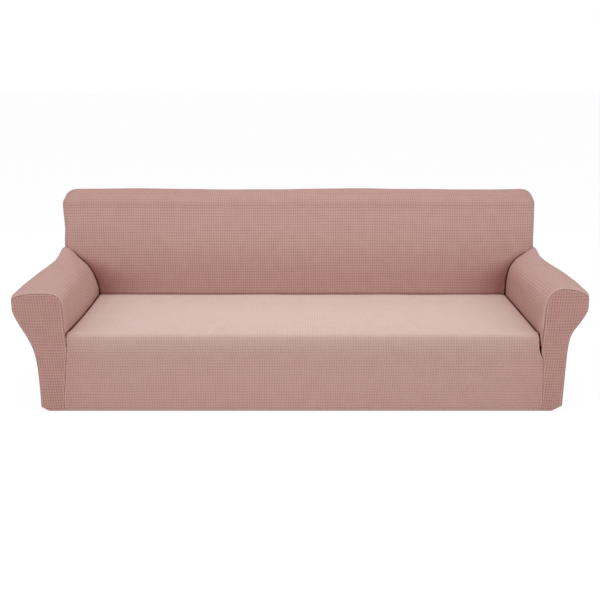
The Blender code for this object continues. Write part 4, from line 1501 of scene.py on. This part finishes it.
class WaffleGroup:
    """Node group for a waffle knit: raised cells between sunken lines, of fine upright yarns."""

    sizes: dict[str, float | None] = {
        "Place": None, "Cell Across": 0.012, "Cell Up": 0.015, "Yarn": 0.0024, "Bend": 0.0016, "Patchiness": 0.35,
    }
    bend_pace: float = 9.0
    bend_detail: float = 1.0
    bend_across: float = 2.0
    bend_up: float = 2.5
    half_lines: Pair = (0.26, 0.22)
    patch_paces: Pair = (13.0, 17.0)
    patch_detail: float = 1.5
    patch_span: Pair = (0.36, 0.62)
    course_share: float = 0.8
    fuzz_pace: float = 900.0
    fuzz_detail: float = 2.0

    def __init__(self) -> None:
        """Build the group.

        Each cell's edge is where the place over the cell's size comes back to a whole number. The relief is the
        product of a soft step away from the upright lines and one away from the level lines, with the wave of the
        yarns on top. A slow noise bends the lines a little.
        """
        graph, given, result = new_group("waffle knit", self.sizes, ("Cell", "Yarns", "Fuzz"))
        self.tree = graph.tree
        size = given.outputs
        bend = graph.noise(size["Place"], self.bend_pace, self.bend_detail)
        place = graph.add("ShaderNodeSeparateXYZ")
        graph.put(size["Place"], place.inputs[0])
        offset = graph.math("MULTIPLY", graph.math("SUBTRACT", bend, 0.5), size["Bend"])
        across = graph.math("ADD", place.outputs["X"], graph.math("MULTIPLY", offset, self.bend_across))
        up = graph.math("SUBTRACT", place.outputs["Y"], graph.math("MULTIPLY", offset, self.bend_up))
        left = []
        for way, name, half, pace in zip((across, up), ("Cell Across", "Cell Up"), self.half_lines, self.patch_paces):
            from_line = graph.math("PINGPONG", graph.math("DIVIDE", way, size[name]), 0.5)
            left.append(self.uneven(graph, given, graph.fall(from_line, 0.0, half), pace))
        wales = self.wave(graph, across, size["Yarn"])
        courses = self.wave(graph, up, graph.math("MULTIPLY", size["Yarn"], self.course_share))
        yarns = graph.math("MULTIPLY", wales, graph.math("MULTIPLY_ADD", courses, 0.5, 0.5))
        fuzz = graph.noise(size["Place"], self.fuzz_pace, self.fuzz_detail)
        for name, output in (("Cell", graph.math("MULTIPLY", *left)), ("Yarns", yarns), ("Fuzz", fuzz)):
            graph.put(output, result.inputs[name])

    def uneven(self, graph: Graph, given: bpy.types.Node, line: NodeLink, pace: float) -> bpy.types.NodeSocket:
        """What a set of lines leaves of the cells, where slow patches of noise let the lines show more or less.

        Args:
            graph: the group's graph.
            given: the group's inputs.
            line: how much of a line there is at each place.
            pace: how quickly the patches change, per metre.

        Returns:
            One, less the line times its patch.
        """
        patch = graph.soft_step(graph.noise(given.outputs["Place"], pace, self.patch_detail), *self.patch_span)
        missing = graph.math("MULTIPLY", graph.math("SUBTRACT", 1.0, patch), given.outputs["Patchiness"])
        return graph.math("SUBTRACT", 1.0, graph.math("MULTIPLY", line, graph.math("SUBTRACT", 1.0, missing)))

    @staticmethod
    def wave(graph: Graph, place: NodeLink, length: NodeLink) -> bpy.types.NodeSocket:
        """A wave from 0 to 1 of a given length: half of one plus the sine."""
        turns = graph.math("MULTIPLY", graph.math("DIVIDE", place, length), 2.0 * math.pi)
        return graph.math("MULTIPLY_ADD", graph.math("SINE", turns), 0.5, 0.5)


class StitchGroup:
    """Node group for a row of machine stitches at a set distance from an edge."""

    sizes: dict[str, float | None] = {"Gap": 1.0, "Run": 0.0, "Row": 0.006, "Stitch": 0.0045, "Thread": 0.0009}
    thread_edge: Pair = (0.35, 0.9)
    stitch_edge: Pair = (0.30, 0.40)
    furrow_edge: Pair = (0.6, 3.2)

    def __init__(self) -> None:
        """Build the group.

        A stitch is where the distance from the row is under a thread and the way along the row, over the stitch's
        length, is round the middle of its turn. The furrow is a wider soft band round the row.
        """
        graph, given, result = new_group("stitch row", self.sizes, ("Thread", "Furrow"))
        self.tree = graph.tree
        size = given.outputs
        near = graph.math("DIVIDE", graph.apart(size["Gap"], size["Row"]), size["Thread"])
        on_row = graph.fall(near, *self.thread_edge)
        turn = graph.math("FRACT", graph.math("DIVIDE", size["Run"], size["Stitch"]))
        on_stitch = graph.fall(graph.apart(turn, 0.5), *self.stitch_edge)
        graph.put(graph.math("MULTIPLY", on_row, on_stitch), result.inputs["Thread"])
        graph.put(graph.fall(near, *self.furrow_edge), result.inputs["Furrow"])


@dataclass(frozen=True)
class WaffleKnit:
    """The cover's one finish: a dusty rose waffle knit of soft, slightly fuzzy yarn.

    Attributes:
        waffle: the waffle's node group.
        stitches: the stitch row's node group.
        raised: colour of the raised cells.
        sunken: colour of the lines between them.
        deep: painted shade, the near-black the cloth is darkened to down in a crevice.
        shaded: painted shade, the colour of the cloth beside a crevice, where light comes off other cloth.
        highlit_raised: painted highlight, colour of the raised cells where the cloth is painted paler.
        highlit_sunken: painted highlight, colour of the lines between them there.
        thread: colour of the sewing thread.
        roughness: roughness of the yarn.
        rough_drift: how much the roughness drifts with the fuzz.
        specular: level of the yarn's plain shine.
        sheen: weight of the fuzz's sheen.
        sheen_tint: colour of that sheen.
        sheen_roughness: how widely it spreads.
        cell_rise: how far the cells stand over the lines.
        yarn_rise: how far the yarns stand up.
        row_rise: how far the stitches stand up.
        furrow_depth: how deep the stitches' furrow is for each of their own heights.
        fuzz_share: how much the fuzz adds to the yarns' relief.
        yarn_light: how the yarns' relief lights their colour, as a factor and what is added.
        fuzz_light: the same for the fuzz.
        mottle: how much the cloth's lightness drifts from place to place.
        mottle_pace: how quickly it drifts, per metre.
        mottle_detail: how much finer drift there is in it.
        mean_lightness: the weave's lightness on average, 0 in its lines and 1 on its cells.
        seam_row: distance of the seam's stitches from the sewn edge.
        hem_row: height of the hem's stitches.
        ridge_row: distance of the ridge over a seam's turnings from the sewn edge.
        ridge_edge: where the painted highlight along the ridge starts and ends to fade, off its middle.
        sewn_edge: the same for the dark line in the seam itself, off the sewn edge.
        pale_weight: how far the strongest painted highlight takes the cloth to the opened colours.
        thread_weight: how far a stitch goes to the thread's colour.
        sewn_weight: how far the seam goes to the shaded colour.
    """

    waffle: WaffleGroup
    stitches: StitchGroup
    raised: Colour = (0.578, 0.341, 0.302)
    sunken: Colour = (0.368, 0.190, 0.164)
    # Painted shade colours: near-black down in a crevice, and darker beside it
    deep: Colour = (0.120, 0.016, 0.010)
    shaded: Colour = (0.250, 0.095, 0.085)
    # Painted highlight colours, for the cells and for the lines between them
    highlit_raised: Colour = (0.813, 0.667, 0.613)
    highlit_sunken: Colour = (0.673, 0.522, 0.468)
    thread: Colour = (0.500, 0.300, 0.265)
    roughness: float = 0.88
    rough_drift: float = 0.12
    specular: float = 0.12
    sheen: float = 0.10
    sheen_tint: Colour = (0.90, 0.62, 0.56)
    sheen_roughness: float = 0.45
    cell_rise: float = 0.0005
    yarn_rise: float = 0.0002
    row_rise: float = 0.0003
    furrow_depth: float = 1.4
    fuzz_share: float = 0.6
    yarn_light: Pair = (0.30, 0.70)
    fuzz_light: Pair = (0.16, 0.92)
    mottle: float = 0.07
    mottle_pace: float = 5.0
    mottle_detail: float = 3.0
    mean_lightness: float = 0.58
    seam_row: float = 0.0012
    hem_row: float = 0.0165
    ridge_row: float = 0.0052
    ridge_edge: Pair = (0.0004, 0.0036)
    sewn_edge: Pair = (0.0006, 0.0026)
    pale_weight: float = 0.9
    thread_weight: float = 0.8
    sewn_weight: float = 0.28

    def material(self, node: str, contrast: float, ridge: float) -> bpy.types.Material:
        """Build the finish for one panel.

        Args:
            node: the panel's node, which names the material.
            contrast: how much of the difference between cells and lines is left there, 0 to 1.
            ridge: painted highlight, how much paler the cloth is painted over a seam's turnings, 0 to 1.

        Returns:
            The material.
        """
        material = bpy.data.materials.new(node + "_knit")
        material.use_nodes = True
        graph = Graph(material.node_tree)
        surface = material.node_tree.nodes["Principled BSDF"]
        knit = graph.add("ShaderNodeGroup", node_tree=self.waffle.tree)
        graph.put(graph.add("ShaderNodeUVMap", uv_map="weave").outputs["UV"], knit.inputs["Place"])
        seam = self.stitch_row(graph, "seam", self.seam_row)
        hem = self.stitch_row(graph, "hem", self.hem_row)
        thread = graph.math("MAXIMUM", seam.outputs["Thread"], hem.outputs["Thread"])
        furrow = graph.math("MAXIMUM", seam.outputs["Furrow"], hem.outputs["Furrow"])
        least_rough = self.roughness - 0.5 * self.rough_drift
        values = {
            "Base Color": self.colour(graph, knit, thread, contrast, ridge),
            "Roughness": graph.math("MULTIPLY_ADD", knit.outputs["Fuzz"], self.rough_drift, least_rough),
            "Metallic": 0.0,
            "Specular IOR Level": self.specular,
            "Sheen Weight": self.sheen,
            "Sheen Roughness": self.sheen_roughness,
            "Sheen Tint": (*self.sheen_tint, 1.0),
            "Normal": self.bumps(graph, knit, thread, furrow),
        }
        for name, value in values.items():
            graph.put(value, surface.inputs[name])
        return material

    def stitch_row(self, graph: Graph, edge: str, row: float) -> bpy.types.Node:
        """Place the stitch row's group along the seam or the hem."""
        node = graph.add("ShaderNodeGroup", node_tree=self.stitches.tree)
        graph.put(graph.attribute(edge + "_gap"), node.inputs["Gap"])
        graph.put(graph.attribute(edge + "_run"), node.inputs["Run"])
        node.inputs["Row"].default_value = row
        return node

    def colour(
        self, graph: Graph, knit: bpy.types.Node, thread: NodeLink, contrast: float, ridge: float
    ) -> bpy.types.NodeSocket:
        """Mix the cloth's colour from cells, yarns, slow mottling and thread; paint highlights and crevice shade on
        it.
        """
        where = graph.add("ShaderNodeTexCoord").outputs["Object"]
        mottle = graph.noise(where, self.mottle_pace, self.mottle_detail, "3D")
        lift = graph.math("MULTIPLY", graph.math("SUBTRACT", mottle, 0.5), self.mottle)
        yarn = graph.math("MULTIPLY_ADD", knit.outputs["Yarns"], *self.yarn_light)
        fuzz = graph.math("MULTIPLY_ADD", knit.outputs["Fuzz"], *self.fuzz_light)
        lightness = graph.math("MULTIPLY", graph.math("MULTIPLY", knit.outputs["Cell"], yarn), fuzz)
        lightness = graph.math("MULTIPLY_ADD", lightness, contrast, (1.0 - contrast) * self.mean_lightness)
        lightness = graph.math("ADD", lightness, lift)
        colour = graph.mix(lightness, self.sunken, self.raised)
        # A painted highlight along the ridge over a seam's turnings joins the pale mask's painted highlight
        on_row = graph.fall(graph.apart(graph.attribute("seam_gap"), self.ridge_row), *self.ridge_edge)
        sewn = graph.fall(graph.attribute("seam_gap"), *self.sewn_edge)
        pale = graph.math("MAXIMUM", graph.attribute("pale"), graph.math("MULTIPLY", on_row, ridge))
        # The painted highlight takes the cloth towards these paler colours
        stretched = graph.mix(lightness, self.highlit_sunken, self.highlit_raised)
        colour = graph.mix(graph.math("MULTIPLY", pale, self.pale_weight), colour, stretched)
        colour = graph.mix(graph.math("MULTIPLY", thread, self.thread_weight), colour, self.thread)
        colour = graph.mix(graph.math("MULTIPLY", sewn, self.sewn_weight), colour, self.shaded)
        # Painted shade: darker beside crevices and over the back's top roll, near-black down in them
        colour = graph.mix(graph.attribute("shade"), colour, self.shaded)
        return graph.mix(graph.attribute("crevice"), colour, self.deep)

    def bumps(self, graph: Graph, knit: bpy.types.Node, thread: NodeLink, furrow: NodeLink) -> bpy.types.NodeSocket:
        """Stack the relief of the cells, the yarns with their fuzz, and the stitches in their furrow."""
        yarns = graph.math("MULTIPLY_ADD", knit.outputs["Fuzz"], self.fuzz_share, knit.outputs["Yarns"])
        rows = graph.math("SUBTRACT", thread, graph.math("MULTIPLY", furrow, self.furrow_depth))
        normal = None
        reliefs = ((knit.outputs["Cell"], self.cell_rise), (yarns, self.yarn_rise), (rows, self.row_rise))
        for height, rise in reliefs:
            bump = graph.add("ShaderNodeBump")
            bump.inputs["Distance"].default_value = rise
            bump.inputs["Strength"].default_value = 1.0
            graph.put(height, bump.inputs["Height"])
            if normal is not None:
                graph.put(normal, bump.inputs["Normal"])
            normal = bump.outputs["Normal"]
        return normal


@dataclass(frozen=True)
class Lamp:
    """A broad soft light.

    Attributes:
        name: what it is called.
        place: where it hangs.
        target: the point that it faces.
        size: its width and depth.
        power: its power, in watts.
    """

    name: str
    place: Place
    target: Place
    size: Pair
    power: float

    def hang(self) -> None:
        """Add the light to the scene, turned to its target."""
        data = bpy.data.lights.new(self.name, "AREA")
        data.shape = "RECTANGLE"
        data.size, data.size_y = self.size
        data.energy = self.power
        lamp = add_object(self.name, data)
        lamp.location = self.place
        away = np.subtract(self.place, self.target)
        lamp.rotation_euler = (math.atan2(math.hypot(away[0], away[1]), away[2]), 0.0, math.atan2(away[0], -away[1]))


@dataclass(frozen=True)
class Studio:
    """The pale floor, the soft lights and the camera.

    Attributes:
        distance: how far the camera stands from the cover's front plane.
        height: how high it stands.
        pitch: how far it looks down, in degrees.
        lens: its lens, in millimetres.
        sensor: width of its sensor, in millimetres.
        floor_size: side of the floor.
        floor_drop: how far the floor lies under the hem, so that the two never share a plane.
        floor_tone: how pale the floor is.
        floor_roughness: how rough it is.
        floor_specular: level of its plain shine.
        world: brightness of the room all round, as it lights the cover.
        floor_glow: how bright a white the floor is seen as, next to its own tone.
        floor_glow_share: how much of the floor that is seen is that white.
        lamps: the lights overhead, in front and at both sides.
    """

    distance: float = 2.9405
    height: float = 1.6478
    pitch: float = 19.891
    lens: float = 40.34
    sensor: float = 36.0
    floor_size: float = 60.0
    floor_drop: float = 0.001
    floor_tone: float = 0.93
    floor_roughness: float = 0.95
    floor_specular: float = 0.1
    world: float = 0.600
    floor_glow: float = 1.06
    floor_glow_share: float = 0.85
    lamps: tuple[Lamp, ...] = (
        Lamp("overhead", (0.0, -0.2, 3.4), (0.0, 0.0, 0.3), (3.6, 2.4), 38.0),
        Lamp("front", (0.0, -4.2, 1.9), (0.0, 0.0, 0.45), (2.4, 1.6), 25.0),
        Lamp("left", (-3.6, -1.6, 2.0), (0.0, 0.0, 0.5), (1.8, 1.8), 10.6),
        Lamp("right", (3.6, -1.6, 2.0), (0.0, 0.0, 0.5), (1.8, 1.8), 11.4),
    )

    def set_camera(self, front: float) -> None:
        """Stand the camera in front of the cover's front plane."""
        data = bpy.data.cameras.new("camera")
        data.lens = self.lens
        data.sensor_width = self.sensor
        camera = add_object("camera", data)
        camera.location = (0.0, front - self.distance, self.height)
        camera.rotation_euler = (QUARTER_TURN - math.radians(self.pitch), 0.0, 0.0)
        bpy.context.scene.camera = camera

    def set_floor(self) -> None:
        """Lay the plain pale floor."""
        half = self.floor_size / 2.0
        corners = [(-half, -half, 0.0), (half, -half, 0.0), (half, half, 0.0), (-half, half, 0.0)]
        mesh = bpy.data.meshes.new("floor")
        mesh.from_pydata(corners, [], [(0, 1, 2, 3)])
        material = bpy.data.materials.new("floor")
        material.use_nodes = True
        surface = material.node_tree.nodes["Principled BSDF"]
        surface.inputs["Base Color"].default_value = (self.floor_tone,) * 3 + (1.0,)
        surface.inputs["Roughness"].default_value = self.floor_roughness
        surface.inputs["Specular IOR Level"].default_value = self.floor_specular
        graph = Graph(material.node_tree)
        glow = graph.add("ShaderNodeEmission")
        glow.inputs["Strength"].default_value = self.floor_glow
        seen = graph.math("MULTIPLY", graph.add("ShaderNodeLightPath").outputs["Is Camera Ray"], self.floor_glow_share)
        both = graph.add("ShaderNodeMixShader")
        graph.put(seen, both.inputs[0])
        graph.put(surface.outputs[0], both.inputs[1])
        graph.put(glow.outputs[0], both.inputs[2])
        graph.put(both.outputs[0], material.node_tree.nodes["Material Output"].inputs["Surface"])
        mesh.materials.append(material)
        floor = add_object("floor", mesh)
        floor.location.z = -self.floor_drop

    def set_lights(self) -> None:
        """Hang the lamps in a plain room that is seen as white."""
        world = bpy.data.worlds.new("room")
        world.use_nodes = True
        graph = Graph(world.node_tree)
        background = world.node_tree.nodes["Background"]
        background.inputs["Color"].default_value = (1.0, 1.0, 1.0, 1.0)
        seen = graph.add("ShaderNodeLightPath").outputs["Is Camera Ray"]
        graph.put(graph.math("MAXIMUM", seen, self.world), background.inputs["Strength"])
        bpy.context.scene.world = world
        for lamp in self.lamps:
            lamp.hang()

    def set_tones(self) -> None:
        """Show tones plainly, without a film curve."""
        bpy.context.scene.view_settings.view_transform = "Standard"


def main() -> None:
    """Load the frame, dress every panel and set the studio."""
    logging.basicConfig(level=logging.INFO, format="%(name)s: %(message)s")
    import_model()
    shape = CoverShape(depth=2.0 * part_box("outer_back")[1].y)
    inner_back = InnerBackPanel(shape)
    panels = [SeatPanel(shape), inner_back, OuterBackPanel(shape, inner_back)]
    panels += [ArmWrapPanel(shape, side) for side in Side]
    panels += [ArmFrontPanel(shape, side) for side in Side]
    knit = WaffleKnit(WaffleGroup(), StitchGroup())
    for panel in panels:
        panel.build(knit)
    studio = Studio()
    studio.set_camera(-shape.depth / 2.0)
    studio.set_floor()
    studio.set_lights()
    studio.set_tones()


if __name__ == "__main__":
    main()
